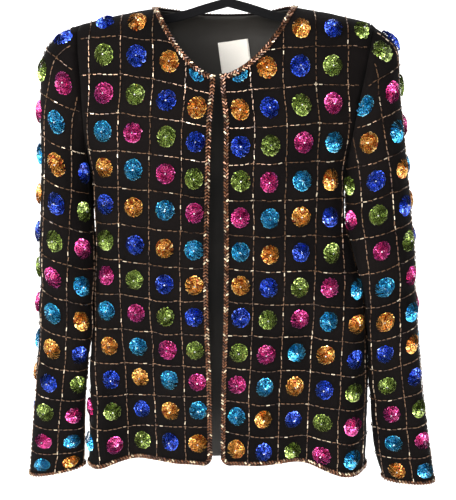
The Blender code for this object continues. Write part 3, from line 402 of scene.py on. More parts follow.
def soft_waves(a, v, seed, longest, count=6):
    """Gentle unevenness between -1 and 1, out of a few crossed waves."""
    waves = np.random.default_rng(seed)
    total = 0.0
    for _ in range(count):
        turn, phase = waves.uniform(0.0, math.pi), waves.uniform(0.0, 2.0 * math.pi)
        length = longest * waves.uniform(0.45, 1.0)
        total = total + np.sin(2.0 * math.pi * (a * math.cos(turn) + v * math.sin(turn)) / length + phase)
    return total / count * 1.6


def puff(a, v, first_column, first_row, row_step):
    """0 on the bead lines and 1 in the middle of each square."""
    across = np.sin(math.pi * (a / CELL_WIDE - first_column))
    down = np.sin(math.pi * (v - first_row) / row_step)
    return np.abs(across * down) ** 0.7


print("a net holds a point every", SURFACE_STEP * 1000, "mm")

# %% [markdown]
# ## Cloth panels
# A panel is cut out of its pattern just as cloth is: a closed outline with the shoulder, armhole,
# side seam, hem and opening edge. The inside of the outline is filled with evenly spaced points and
# Delaunay triangles, and each point is wrapped twice, for the outer face and the inner face, so the
# cloth keeps its real 2 mm thickness.

# %% Outlines of the panels
ARMHOLE_STEPS = (1.0, 0.86, 0.72, 0.58, 0.44, 0.32, 0.20, 0.10, 0.035, 0.0)
SHOULDER_STEPS = np.linspace(0.0, 1.0, 16)


def armhole_line(side):
    """The armhole's edge, tip to foot: distance from the middle, level."""
    top = ridge_pattern(armhole_x(side, RIDGE_AT_TIP))
    levels = [UNDERARM_LEVEL + (top - UNDERARM_LEVEL) * step for step in ARMHOLE_STEPS]
    return [(armhole_x(side, level), level) for level in levels]


def shoulder_line(side):
    tip = armhole_x(side, RIDGE_AT_TIP)
    places = [NECK_AT[side] + (tip - NECK_AT[side]) * step for step in SHOULDER_STEPS]
    return [(x, ridge_pattern(x)) for x in places]


def neck_front(side):
    """Front neck edge, from the opening edge up to the neck point: x, level."""
    start, end = side * front_edge_x(side, FRONT_NECK_LEVEL), NECK_AT[side]
    top = ridge_pattern(end)
    turns = np.linspace(0.0, math.pi / 2.0, 25)
    line = [(start + (end - start) * math.sin(t) ** NECK_CURVE,
             top - (top - FRONT_NECK_LEVEL) * max(math.cos(t), 0.0) ** NECK_CURVE) for t in turns]
    return line[:-1] + [(end, top)]


def neck_back():
    """Back neck edge, from the wearer's right neck point to the left: x, level."""
    tops = {side: ridge_pattern(NECK_AT[side]) for side in (-1, 1)}
    middle = (tops[-1] + tops[1]) / 2.0
    line = []
    for place in np.linspace(-1.0, 1.0, 37):
        side, share = (1 if place >= 0.0 else -1), abs(place)
        dip = BACK_NECK_DROP * (1.0 - share ** 2.4) + BACK_NECK_STEP * (1.0 - share ** 8)
        line.append((place * NECK_AT[side], middle + (tops[side] - middle) * share - dip))
    return line


def hem_level(cells):
    return HEM_LEVEL - smooth_value(HEM_DROPS, float(cells), 1)


def side_seam(foot):
    return list(np.arange(UNDERARM_LEVEL, foot + 0.004, -CLOTH_STEP)) + [foot]


def front_edges(side):
    """The named edges of a front in order round it, each a list of (along, level)."""
    gap = SEAM_HALF_GAP

    def along(x, level):
        return max(along_at(side, x, level, 1) - side * front_edge_x(side, level), 0.0) if x > 0.0 else 0.0
    neck = [(along(x, v), v) for x, v in neck_front(side)]
    neck[0] = (0.0, FRONT_NECK_LEVEL)
    foot = hem_level(front_length(side, HEM_LEVEL) / CELL_WIDE)
    seam = [(front_length(side, v) - gap, v) for v in side_seam(foot)]
    stops = np.arange(seam[-1][0] - CLOTH_STEP, FRONT_CORNER + 0.003, -CLOTH_STEP)
    bottom = hem_level(0.0)
    turns = np.linspace(0.0, math.pi / 2.0, 7)
    corner = [(FRONT_CORNER * (1.0 - math.sin(t)), bottom + FRONT_CORNER * (1.0 - math.cos(t)))
              for t in turns]
    rise = np.arange(bottom + FRONT_CORNER + CLOTH_STEP, FRONT_NECK_LEVEL - 0.003, CLOTH_STEP)
    return {
        "neck": neck[:-1],
        "shoulder": [(along(x, v - gap), v - gap) for x, v in shoulder_line(side)],
        "armhole": [(along(x, v) - gap, v) for x, v in armhole_line(side)[1:-1]],
        "seam": seam,
        "hem": [(a, hem_level(a / CELL_WIDE)) for a in stops] + corner,
        "opening": [(0.0, v) for v in rise]}


def back_edges():
    """The named edges of the back in order round it, each a list of (along, level)."""
    gap = SEAM_HALF_GAP
    edges = {"neck": [(math.copysign(along_at(1 if x >= 0 else -1, abs(x), v, 2), x), v)
                      for x, v in neck_back()][1:-1]}
    for side in (1, -1):
        foot = hem_level(front_length(side, HEM_LEVEL) / CELL_WIDE)
        half = {
            "shoulder": [(side * along_at(side, x, v - gap, 2), v - gap) for x, v in shoulder_line(side)],
            "armhole": [(side * (along_at(side, x, v, 2) - gap), v) for x, v in armhole_line(side)[1:-1]],
            "seam": [(side * (back_length(side, v) - gap), v) for v in side_seam(foot)]}
        if side > 0:
            edges.update({"left " + name: line for name, line in half.items()})
            left_foot = half["seam"][-1][0]
        else:
            start, finish = left_foot - CLOTH_STEP, half["seam"][-1][0] + 0.003
            edges["hem"] = [(a, hem_level(5.5)) for a in np.arange(start, finish, -CLOTH_STEP)]
            for name in ("seam", "armhole", "shoulder"):
                edges["right " + name] = half[name][::-1]
    return edges


def joined(edges):
    return [point for line in edges.values() for point in line]


print("points round the right front:", len(joined(front_edges(-1))))

# %% [markdown]
# The fill keeps its points a little off the outline, which leaves no slivers. The same fill serves
# both faces of the cloth, and a narrow rim closes it, as a turned and pressed edge does.

# %% Fill a pattern and wrap it
def distance_inside(outline, points):
    """For each point: how far it is from the outline, negative outside."""
    ends = np.array(outline + outline[:1])
    a, b = ends[:-1], ends[1:]
    p = np.asarray(points)[:, None, :]
    run = b - a
    share = np.clip(((p - a) * run).sum(-1) / (run ** 2).sum(-1), 0.0, 1.0)
    near = np.linalg.norm(p - a - share[..., None] * run, axis=-1).min(axis=1)
    x, y = p[..., 0], p[..., 1]
    with np.errstate(divide="ignore", invalid="ignore"):
        meet = run[:, 0] * (y - a[:, 1]) / run[:, 1] + a[:, 0]
    odd = ((((a[:, 1] > y) != (b[:, 1] > y)) & (x < meet)).sum(axis=1) % 2) == 1
    return np.where(odd, near, -near)


def fill_pattern(outline, step=CLOTH_STEP):
    """Points and triangles that fill an outline. The outline's own points come first."""
    area = sum(p[0] * q[1] - q[0] * p[1] for p, q in zip(outline, outline[1:] + outline[:1]))
    outline = [(float(a), float(v)) for a, v in (outline if area > 0.0 else outline[::-1])]
    low, high = np.min(outline, axis=0), np.max(outline, axis=0)
    rows = np.arange(low[1], high[1], step * 0.9)
    grid = [(a + (k % 2) * step / 2.0, v) for k, v in enumerate(rows)
            for a in np.arange(low[0], high[0], step)]
    far_in = distance_inside(outline, grid) > 0.45 * step
    inner = [(float(a), float(v)) for (a, v), is_in in zip(grid, far_in) if is_in]
    points = [Vector(p) for p in outline + inner]
    verts, _, faces, origin, _, _ = delaunay_2d_cdt(points, [], [list(range(len(outline)))], 1, 1e-7)
    assert len(verts) == len(points), "an outline crosses itself"
    order = [source[0] for source in origin]
    return np.array(outline + inner), [tuple(order[i] for i in face) for face in faces], len(outline)


def add_object(name, verts, faces, material, tone=None, smooth=True):
    """An object from points and faces. tone is one number for each point, read by its material."""
    mesh = bpy.data.meshes.new(name)
    mesh.from_pydata(np.asarray(verts, float).tolist(), [], faces)
    mesh.update()
    if smooth:
        mesh.shade_smooth()
    if tone is not None:
        layer = mesh.attributes.new("tone", "FLOAT", "POINT")
        layer.data.foreach_set("value", np.asarray(tone, dtype=np.float32))
    mesh.materials.append(material)
    item = bpy.data.objects.new(name, mesh)
    bpy.context.scene.collection.objects.link(item)
    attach(item, "root")
    return item


def facing_out(verts, faces):
    """Turn all faces over if the closed shape is inside out."""
    verts = np.asarray(verts, float)
    corners = np.array([face[:3] for face in faces])
    p, q, r = (verts[corners[:, k]] for k in range(3))
    volume = np.einsum("ij,ij->i", p, np.cross(q, r)).sum()
    return faces if volume > 0.0 else [tuple(reversed(face)) for face in faces]


def cloth_panel(name, outline, place, material, outer=0.0, inner=-WALL):
    """A closed cloth shell. place(points, height, edge) wraps pattern points at a height."""
    points, triangles, edge = fill_pattern(outline)
    faces = list(triangles)
    count = len(points)
    faces += [tuple(count + i for i in reversed(face)) for face in triangles]
    for k in range(edge):
        ahead = (k + 1) % edge
        faces += [(k, count + k, count + ahead), (k, count + ahead, ahead)]
    verts = np.concatenate((place(points, outer, edge), place(points, inner, edge)))
    item = add_object(name, verts, facing_out(verts, faces), material)
    print(name, len(faces), "triangles")
    return item

# %% [markdown]
# ## Finishes
# Several finishes share the same small effects, so each effect is a node group that is built once.
# "thread weave" crosses two sets of fine waves, which is what warp and weft look like close up.
# "foil glint" spreads three shades of one colour over separate bits of foil: every bead and sequin
# carries a number, its tone, and the group turns that number into a darker, plain or brighter bit.
# The brighter bit is a painted glint, and on a sequin the darker end also carries the painted shade
# of its cup.

# %% Shared effects
def new_group(name, takes, gives):
    """A node group with named inputs (name, kind, value) and outputs (name, kind)."""
    group = bpy.data.node_groups.new(name, "ShaderNodeTree")
    for label, kind, value in takes:
        group.interface.new_socket(label, in_out="INPUT", socket_type=kind).default_value = value
    for label, kind in gives:
        group.interface.new_socket(label, in_out="OUTPUT", socket_type=kind)
    return group, group.nodes.new("NodeGroupInput"), group.nodes.new("NodeGroupOutput")


def add_node(tree, kind, sockets=None, **settings):
    """Add a node, set its properties, then its sockets: a value is set and another socket linked."""
    node = tree.nodes.new(kind)
    for label, value in settings.items():
        setattr(node, label, value)
    for label, value in (sockets or {}).items():
        socket = node.inputs[label]
        if isinstance(value, bpy.types.NodeSocket):
            tree.links.new(value, socket)
        else:
            socket.default_value = value
    return node


def maths(tree, operation, *values):
    return add_node(tree, "ShaderNodeMath", dict(enumerate(values)), operation=operation).outputs[0]


def blend_colours(tree, share, low, high):
    """Mix two colours by a share."""
    node = add_node(tree, "ShaderNodeMix", {"Factor": share}, data_type="RGBA")
    for socket, value in ((node.inputs[6], low), (node.inputs[7], high)):
        if isinstance(value, bpy.types.NodeSocket):
            tree.links.new(value, socket)
        else:
            socket.default_value = value
    return node.outputs[2]


def step_up(tree, value, low, high, start=0.0, end=1.0):
    """Smooth rise from start to end while value goes from low to high."""
    return add_node(tree, "ShaderNodeMapRange",
                    {"Value": value, "From Min": low, "From Max": high, "To Min": start, "To Max": end},
                    interpolation_type="SMOOTHSTEP").outputs[0]


def cloud_of(tree, scale, detail):
    """Noise over the object's own space."""
    place = add_node(tree, "ShaderNodeTexCoord").outputs["Object"]
    noise = add_node(tree, "ShaderNodeTexNoise", {"Vector": place, "Scale": scale, "Detail": detail})
    return noise.outputs["Fac"]


COLOUR, NUMBER = "NodeSocketColor", "NodeSocketFloat"
WAVE_SPACING = 0.314         # metres between two waves where a wave texture's scale is 1

weave, taken, given = new_group(
    "thread weave",
    [("Thread Spacing", NUMBER, 0.0006), ("Slub", NUMBER, 0.4)],
    [("Height", NUMBER), ("Thread", NUMBER), ("Cloud", NUMBER)])
place = add_node(weave, "ShaderNodeTexCoord").outputs["Object"]
scale = maths(weave, "DIVIDE", WAVE_SPACING, taken.outputs["Thread Spacing"])
warp, weft = (add_node(weave, "ShaderNodeTexWave",
                       {"Vector": place, "Scale": scale, "Distortion": 1.5, "Detail": 1.0},
                       bands_direction=way).outputs["Fac"] for way in ("X", "Z"))
crossed = maths(weave, "MAXIMUM", warp, weft)
rough = maths(weave, "MULTIPLY", cloud_of(weave, 420.0, 2.0), taken.outputs["Slub"])
weave.links.new(maths(weave, "ADD", crossed, rough), given.inputs["Height"])
weave.links.new(crossed, given.inputs["Thread"])
weave.links.new(cloud_of(weave, 14.0, 3.0), given.inputs["Cloud"])

glint, taken, given = new_group(
    "foil glint",
    [("Deep", COLOUR, (0, 0, 0, 1)), ("Body", COLOUR, (0.5, 0.5, 0.5, 1)), ("Bright", COLOUR, (1, 1, 1, 1)),
     ("Bright Share", NUMBER, 0.2), ("Rub", NUMBER, 0.3)],
    [("Colour", COLOUR), ("Roughness", NUMBER)])
tone = add_node(glint, "ShaderNodeAttribute", attribute_name="tone").outputs["Fac"]
deep_share = step_up(glint, tone, 0.0, 0.55)
# the top share of tones gets the Bright colour, a painted glint
painted_glint_start = maths(glint, "SUBTRACT", 1.0, taken.outputs["Bright Share"])
painted_glint_mask = add_node(glint, "ShaderNodeMapRange",
                       {"Value": tone, "From Min": painted_glint_start, "From Max": 1.0}, clamp=True).outputs[0]
dull = blend_colours(glint, deep_share, taken.outputs["Deep"], taken.outputs["Body"])
coloured = blend_colours(glint, painted_glint_mask, dull, taken.outputs["Bright"])
scuffs = step_up(glint, cloud_of(glint, 900.0, 2.0), 0.5, 0.75)
rub_mask = maths(glint, "MULTIPLY", scuffs, taken.outputs["Rub"])
glint.links.new(blend_colours(glint, rub_mask, coloured, taken.outputs["Deep"]), given.inputs["Colour"])
glint.links.new(maths(glint, "MULTIPLY_ADD", rub_mask, 0.30, 0.20), given.inputs["Roughness"])
print("shared effects:", weave.name, "and", glint.name)

# %% [markdown]
# Each material is a Principled shader with one or two of those effects plugged into it. Cloth gets
# its weave as a bump and a little sheen, which is the light that fine fibre ends catch at a shallow
# angle. Foil is metal with a thin clear coat, and some foils change hue at a shallow angle: a Layer
# Weight node finds that angle.

# %% Materials
def colour(red, green, blue):
    """A colour from its 0 to 255 screen values, as the linear light that shaders work in."""
    def linear(value):
        share = value / 255.0
        return share / 12.92 if share <= 0.04045 else ((share + 0.055) / 1.055) ** 2.4
    return (linear(red), linear(green), linear(blue), 1.0)


def principled(name, **sockets):
    """A material with its Principled shader's own sockets set."""
    material = bpy.data.materials.new(name)
    material.use_nodes = True
    shader = material.node_tree.nodes["Principled BSDF"]
    for label, value in sockets.items():
        shader.inputs[label.replace("_", " ")].default_value = value
    return material, material.node_tree, shader


def effect(tree, group, **values):
    """Place a shared effect in a material."""
    node = add_node(tree, "ShaderNodeGroup", node_tree=group)
    for label, value in values.items():
        node.inputs[label.replace("_", " ")].default_value = value
    return node


def woven(name, low, high, spacing, slub, depth, roughness, **sockets):
    """Cloth: two shades over its threads, and the threads as a bump."""
    material, tree, shader = principled(name, **sockets)
    thread = effect(tree, weave, Thread_Spacing=spacing, Slub=slub)
    patches = step_up(tree, thread.outputs["Cloud"], 0.3, 0.7)
    share = maths(tree, "MULTIPLY", thread.outputs["Thread"], patches)
    tree.links.new(blend_colours(tree, share, low, high), shader.inputs["Base Color"])
    rough = maths(tree, "MULTIPLY_ADD", thread.outputs["Cloud"], 0.2, roughness - 0.1)
    tree.links.new(rough, shader.inputs["Roughness"])
    bump = add_node(tree, "ShaderNodeBump",
                    {"Height": thread.outputs["Height"], "Distance": depth, "Strength": 0.8})
    tree.links.new(bump.outputs["Normal"], shader.inputs["Normal"])
    return material


COAT = {"Coat_Weight": 0.3, "Coat_Roughness": 0.1}
SEQUIN_METAL = 0.75
BEAD_METAL = 0.6


def foil(name, deep, body, painted_glint, share, hue_shift=None):
    """Sequin foil, or a bead if it has no second hue: three shades by tone, 0 to 255, the bright one a
    painted glint.
    """
    material, tree, shader = principled(name, Metallic=SEQUIN_METAL if hue_shift else BEAD_METAL, **COAT)
    bits = effect(tree, glint, Deep=colour(*deep), Body=colour(*body), Bright=colour(*painted_glint),
                  Bright_Share=share)
    result = bits.outputs["Colour"]
    if hue_shift:
        angle = add_node(tree, "ShaderNodeLayerWeight", {"Blend": 0.35}).outputs["Facing"]
        turned = step_up(tree, angle, 0.25, 0.9, 0.0, 0.75)
        result = blend_colours(tree, turned, result, colour(*hue_shift))
    tree.links.new(result, shader.inputs["Base Color"])
    tree.links.new(bits.outputs["Roughness"], shader.inputs["Roughness"])
    return material


black_cloth = woven("black crepe", colour(6, 4, 4), colour(17, 13, 12), 0.0006, 0.5, 0.0002, 0.85,
                    Specular_IOR_Level=0.07, Sheen_Weight=0.01, Sheen_Roughness=0.4)
lining_cloth = woven("charcoal satin", colour(32, 30, 28), colour(50, 47, 43), 0.0004, 0.2, 0.0001, 0.5,
                     Specular_IOR_Level=0.25, Sheen_Weight=0.04, Sheen_Roughness=0.3)
label_cloth = woven("cream woven label", colour(236, 230, 218), colour(252, 248, 240), 0.0005, 0.3,
                    0.0002, 0.6, Sheen_Weight=0.1)
# Sequins: deep shade (also the painted shade in each cup), body shade, bright shade (a painted glint),
# share of bright ones, hue at a shallow angle
SEQUIN_SHADES = {
    "turquoise": ((5, 88, 138), (55, 185, 232), (222, 252, 255), 0.32, (130, 230, 250)),
    "gold": ((150, 62, 12), (255, 194, 88), (255, 246, 205), 0.36, (255, 208, 110)),
    "blue": ((6, 16, 92), (48, 92, 232), (190, 212, 255), 0.28, (105, 150, 255)),
    "green": ((52, 66, 18), (162, 188, 88), (238, 246, 185), 0.32, (200, 220, 120)),
    "magenta": ((125, 10, 68), (244, 78, 166), (255, 208, 238), 0.32, (245, 120, 222))}
SEQUIN_COLOURS = tuple(SEQUIN_SHADES)
sequins = {hue: foil(f"{hue} sequins", *shades) for hue, shades in SEQUIN_SHADES.items()}
# Beads: the bright shade, given to a share of each kind, is a painted glint
bugle_glass = foil("bronze bugle beads", (52, 37, 28), (118, 90, 68), (246, 228, 200), 0.16)
round_glass = foil("dark round beads", (16, 11, 8), (40, 28, 20), (92, 68, 48), 0.10)
braid_glass = foil("copper braid beads", (54, 31, 20), (120, 78, 52), (246, 226, 190), 0.18)
print(len(bpy.data.materials), "materials so far")

# %% [markdown]
# ## The body
# Two fronts, a back, and a lining that follows the back on its inside. Each has its net, with the
# folds that hang from the shoulders, and its own creases.

# %% Fronts, back and lining
QUILT_RISE = 0.0009          # puff of the cloth between the bead lines
CREASE_RISE = 0.0016         # soft creases of the body, and lengthwise folds of the sleeves
LINING_FOLD = 0.0022


def dress(node):
    """Let a cloth panel stand for its piece of the solid jacket, by hiding that piece."""
    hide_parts(node)


def body_relief(seed, first_column, shift):
    def relief(a, v):
        quilt = puff(a, v, first_column, FIRST_ROW_LEVEL + shift, CELL_HIGH) * QUILT_RISE
        down = np.clip((-0.16 - v) / 0.30, 0.0, 1.0)
        return quilt + soft_waves(a * 1.6, v * 0.45, seed, 0.085) * CREASE_RISE * down
    return relief


def laid_on(net):
    """Wrap pattern points on a net."""
    return lambda p, height, edge: net.at(p[:, 0], p[:, 1], height)


down = np.arange(-0.785, -0.040, SURFACE_STEP)
front_nets, front_outlines = {}, {}
for side, name in ((-1, "right"), (1, "left")):
    front_nets[side] = Net(functools.partial(front_point, side), np.arange(-0.012, 0.262, SURFACE_STEP), down,
                           side, body_relief(20 + side, FIRST_COLUMN[side], ROW_SHIFT[side]))
    front_outlines[side] = joined(front_edges(side))
    panel = cloth_panel(f"cloth_front_{name}", front_outlines[side], laid_on(front_nets[side]), black_cloth)
    dress(f"front_{name}")

back_net = Net(back_point, np.arange(-0.252, 0.256, SURFACE_STEP), down, -1,
               body_relief(33, 0.0, ROW_SHIFT[0]))
back_outline = joined(back_edges())
panel = cloth_panel("cloth_back", back_outline, laid_on(back_net), black_cloth)
dress("back")


# The lining hangs a little free of the back, in soft upright folds
def lining_place(p, height, edge):
    a, v = p[:, 0], p[:, 1]
    free = np.clip((-0.17 - v) / 0.15, 0.0, 1.0)
    free[:edge] = 0.0
    folds = 0.5 + 0.5 * np.sin(a / 0.0105 + 1.6 * np.sin(v / 0.11) + soft_waves(a, v, 5, 0.12))
    ease = np.clip(distance_inside(back_outline, p) / 0.02, 0.0, 1.0)
    return back_net.at(a, v, height - folds * free * ease * LINING_FOLD)


panel = cloth_panel("cloth_lining", back_outline, lining_place, lining_cloth,
                    -WALL - LINING_GAP, -WALL - LINING_GAP - LINING_WALL)
dress("back_lining")

# %% [markdown]
# ## The sleeves
# A sleeve is a tube with one seam under the arm. Its top edge, the cap, is sewn into the armhole, so
# each point of the cap is worked out from the same armhole point as the body's. Below, the rings
# lean outwards and forwards as a hanging arm does.

# %% Sleeve pattern and panels
def cap_crossing(side, along):
    """Row at which a line down the sleeve comes out past the armhole, and its level."""
    def outside(row):
        x, _, z = sleeve_raw_point(side, along, row)
        return x - armhole_x(side, z), z
    rows = np.linspace(4.0, -1.0, 41)
    last = rows[0]
    for row in rows[1:]:
        if outside(row)[0] < 0.0:
            for _ in range(20):
                middle = (last + row) / 2.0
                if outside(middle)[0] < 0.0:
                    row = middle
                else:
                    last = middle
            break
        last = row
    return float(last), float(outside(last)[1])


def sleeve_cap(side):
    """The cap from the seam over the back, tip and front to the seam: (along, row), place."""
    half = sleeve_round(side, FOOT_ROW) / 2.0
    halves = []
    for face, column in ((1.0, 1), (-1.0, 2)):
        alongs = np.linspace(0.0, half, 60)
        crossings = [cap_crossing(side, face * a) for a in alongs]
        levels = np.array([level for _, level in crossings])
        rows = np.array([row for row, _ in crossings])
        lowest, low = levels.min(), levels < FOOT_START
        levels[low] = (FOOT_START + (levels[low] - FOOT_START)
                       * (UNDERARM_LEVEL - FOOT_START) / (lowest - FOOT_START))
        order = np.argsort(levels)
        points = []
        for step, (x, v) in enumerate(armhole_line(side)):
            if column == 1:
                place = front_point(side, along_at(side, x, v, 1) - side * front_edge_x(side, v), v)
            else:
                place = back_point(side * along_at(side, x, v, 2), v)
            share = float(np.interp(place[2], levels[order], alongs[order])) if step else 0.0
            points.append((face * share, float(np.interp(place[2], levels[order], rows[order])), place))
        halves.append(points)
    front, back = halves
    seam = back[SLEEVE_SEAM_STEP]
    ring = sleeve_round(side, seam[1])
    after = [(a + ring, row, place) for a, row, place in back[SLEEVE_SEAM_STEP + 1:-1][::-1]]
    shift = np.array((0.0, SEAM_HALF_GAP, 0.0))
    first = (seam[0], seam[1], np.array(seam[2]) + shift)
    last = (seam[0] + ring, seam[1], np.array(seam[2]) - shift)
    return [first] + back[1:SLEEVE_SEAM_STEP][::-1] + front + after + [last]


DRIFT_ROWS = np.arange(-1.0, CUFF_ROW + 1.0, 0.25)
ELBOW_ROW, ELBOW_REACH = 6.3, 2.2
ELBOW_CREASE = 0.0012


def sleeve_phase(side, row):
    """Where the middle column of rosettes lies at a row of a sleeve, in cells from the outer line."""
    return float(smooth_value(SLEEVE_DRIFT, row, side_column(side)))


def sleeve_relief(side):
    """Creases across the elbow, lengthwise folds below it, and the puff of each square."""
    phases = [sleeve_phase(side, row) for row in DRIFT_ROWS]

    def relief(a, d):
        row = d / SLEEVE_ROW
        phase = np.interp(row, DRIFT_ROWS, phases)
        quilt = puff(a - phase * CELL_WIDE, d, 0.5, 0.0, SLEEVE_ROW) * QUILT_RISE
        elbow = np.exp(-((row - ELBOW_ROW) / ELBOW_REACH) ** 2)
        lean = np.sin((d + 0.55 * np.abs(a - 0.05)) / 0.0135 + 0.7 * np.sin(a / 0.02))
        long_folds = np.sin(a / 0.0155 + 1.2 + side * 0.6 + 0.5 * np.sin(d / 0.13))
        low = np.clip((row - 5.0) / 5.0, 0.0, 1.0)
        cuff_end = np.clip((CUFF_ROW + 0.4 - row) / 1.2, 0.35, 1.0)
        edge = np.clip(row / 2.5, 0.0, 1.0)
        return quilt + (lean * elbow * ELBOW_CREASE + long_folds * low * CREASE_RISE) * edge * cuff_end
    return relief


def sleeve_edges(side):
    cap = sleeve_cap(side)
    share = abs(cap[0][0]) / (cap[-1][0] - cap[0][0])
    rows = [r for r in np.arange(0.0, CUFF_ROW + 0.001, 0.125) if r > cap[0][1] + 0.3]
    left = [(-share * sleeve_round(side, r) + SEAM_HALF_GAP, r * SLEEVE_ROW) for r in rows]
    right = [((1.0 - share) * sleeve_round(side, r) - SEAM_HALF_GAP, r * SLEEVE_ROW) for r in rows]
    stops = np.arange(left[-1][0] + CLOTH_STEP, right[-1][0] - 0.003, CLOTH_STEP)
    cuff = [(a, CUFF_ROW * SLEEVE_ROW) for a in stops]
    return cap, {"cap": [(a, row * SLEEVE_ROW) for a, row, _ in reversed(cap)], "left": left,
                 "cuff": cuff, "right": right[::-1]}


sleeve_nets, sleeve_cuffs, sleeve_outlines = {}, {}, {}
for side, name in ((-1, "right"), (1, "left")):
    across = np.arange(-0.150, 0.190, SURFACE_STEP)
    sleeve_down = np.arange(-SLEEVE_ROW, (CUFF_ROW + 0.15) * SLEEVE_ROW, SURFACE_STEP)
    net = Net(lambda a, d, s=side: sleeve_point(s, a, d / SLEEVE_ROW), across, sleeve_down,
              side, sleeve_relief(side))
    cap, edges = sleeve_edges(side)
    middle = np.mean([place for _, _, place in cap], axis=0)
    sewn = []
    for _, _, place in cap:
        rise = min(max((place[2] - UNDERARM_LEVEL) / 0.06, 0.0), 1.0)
        away = np.array((0.0, place[1] - middle[1], place[2] - middle[2]))
        out = away / np.linalg.norm(away) * rise + np.array((-side, 0.0, 0.0)) * (1.0 - rise)
        spot = np.array((side * (abs(place[0]) + 2.0 * SEAM_HALF_GAP), place[1], place[2]))
        sewn.append((spot, out / np.linalg.norm(out)))

    def place_sleeve(p, height, edge, net=net, cap=cap, sewn=sewn):
        verts = net.at(p[:, 0], p[:, 1], height)
        keys = {(round(a, 5), round(row * SLEEVE_ROW, 5)): k for k, (a, row, _) in enumerate(cap)}
        for k in range(edge):
            near = keys.get((round(float(p[k, 0]), 5), round(float(p[k, 1]), 5)))
            if near is not None:
                verts[k] = sewn[near][0] + sewn[near][1] * height
        return verts

    outline = joined(edges)
    panel = cloth_panel(f"cloth_sleeve_{name}", outline, place_sleeve, black_cloth)
    dress(f"sleeve_{name}")
    sleeve_nets[side], sleeve_outlines[side] = net, outline
    sleeve_cuffs[side] = [edges["left"][-1]] + edges["cuff"] + [edges["right"][0]]

# %% [markdown]
# ## Rosettes
# Each rosette is a low dome of round cupped sequins, sewn down in rings from the outside in, so that
# every sequin hides most of the one before and shows as a crescent with its hole. A sequin here is
# an eight-sided washer of foil, bent to a shallow cup. One washer is made once, and NumPy copies it
# to every place, leaning it on its neighbour as the thread pulls it. All the sequins of one colour
# are one object.

# %% One sequin, many places
SEQUIN_RADIUS = 0.0025
HOLE_RADIUS = 0.00072
CUP_DEPTH = 0.00035
SEQUIN_SIDES = 8
ROSETTE_WIDE = 0.0268
ROSETTE_HIGH = 0.0305
ROSETTE_RISE = 0.0042
BRAID_ROOM = 0.0085          # sequins start this far from a panel's edge
ARMHOLE_ROOM = 0.0030        # and this far on a sleeve above its cuff, which has no braid
# Pattern heights between these belong to a sleeve above its cuff. The body's all lie lower.
SLEEVE_TOP, SLEEVE_LOW = -0.035, 0.500
# Rings of a rosette: share of its radius, sequins in it
ROSETTE_RINGS = ((0.86, 24), (0.62, 18), (0.38, 11), (0.16, 5))

turn = 2.0 * math.pi * np.arange(SEQUIN_SIDES) / SEQUIN_SIDES
rim = np.stack((np.cos(turn), np.sin(turn), 0.0 * turn), axis=1) * SEQUIN_RADIUS
hole = np.stack((np.cos(turn), np.sin(turn), 0.0 * turn), axis=1) * HOLE_RADIUS
hole[:, 2] = -CUP_DEPTH
SEQUIN_POINTS = np.concatenate((rim, hole))
SEQUIN_FACES = [(k, (k + 1) % SEQUIN_SIDES, SEQUIN_SIDES + (k + 1) % SEQUIN_SIDES, SEQUIN_SIDES + k)
                for k in range(SEQUIN_SIDES)]
# A sequin keeps its tone at its rim; its cup and hole get a quarter of it, as painted shade
SEQUIN_PAINTED_CUP_SHADE = np.repeat((1.0, 0.25), SEQUIN_SIDES)


def copies(points, faces, places, x_way, y_way, z_way):
    """Many copies of a small shape, each turned by its own three directions."""
    verts = (places[:, None, :] + points[None, :, 0:1] * x_way[:, None, :]
             + points[None, :, 1:2] * y_way[:, None, :] + points[None, :, 2:3] * z_way[:, None, :])
    count = len(points)
    all_faces = [tuple(count * n + i for i in face) for n in range(len(places)) for face in faces]
    return verts.reshape(-1, 3), all_faces


def unit(vectors):
    return vectors / np.maximum(np.linalg.norm(vectors, axis=-1, keepdims=True), 1e-12)


def sequin_frames(net, outline, hidden, centre, seed, wide, high):
    """Places and directions of the sequins of one rosette, and each one's tone.

    None lies on a braid, or where hidden(a, v) says that the sleeve presses on the body.
    """
    luck = np.random.default_rng(seed)
    spin = 1.0 if luck.random() < 0.5 else -1.0
    shares, angles = [], []
    for share, count in ROSETTE_RINGS:
        start = luck.uniform(0.0, 2.0 * math.pi)
        angles.append(start + spin * 2.0 * math.pi * np.arange(count) / count + luck.normal(0.0, 0.05, count))
        shares.append(share + luck.normal(0.0, 0.022, count))
    share, angle = np.concatenate(shares), np.concatenate(angles)
    run_a, run_v = np.cos(angle) * wide / 2.0, np.sin(angle) * high / 2.0
    reach = 1.0 - SEQUIN_RADIUS / (wide / 2.0) * 0.55
    a, v = centre[0] + run_a * share * reach, centre[1] + run_v * share * reach
    normal = net.normal(a, v)
    outwards = net.along(a, v, run_a, run_v)
    sideways = unit(np.cross(normal, outwards)) * spin
    height = 0.0007 + ROSETTE_RISE * (1.0 - share ** 2) ** 0.8
    dome_lean = 0.16 + 0.62 * share
    top = unit(normal * np.cos(dome_lean)[:, None] + outwards * np.sin(dome_lean)[:, None])
    shingle = luck.normal(0.58, 0.10, len(share))
    top = unit(top + sideways * shingle[:, None] + outwards * luck.normal(0.0, 0.07, len(share))[:, None])
    x_way = unit(outwards - top * (outwards * top).sum(axis=1, keepdims=True))
    size = luck.normal(1.0, 0.06, len(share))[:, None]
    places = net.at(a, v, height + luck.normal(0.0, 0.00015, len(share)))
    room = np.where((v > SLEEVE_TOP) & (v < SLEEVE_LOW), ARMHOLE_ROOM, BRAID_ROOM)
    free = distance_inside(outline, np.stack((a, v), axis=1)) > room
    if hidden is not None:
        free &= ~hidden(a, v)
    found = (places, x_way * size, np.cross(top, x_way) * size, top, luck.random(len(share)))
    return [part[free] for part in found]


print("sequins in a rosette:", sum(count for _, count in ROSETTE_RINGS))

# %% [markdown]
# The five colours run diagonally: each row starts one colour later than the row above it. Counting
# rows and columns and taking the remainder by five gives that order. The fronts mirror each other
# about the opening, and the back mirrors itself about its middle.

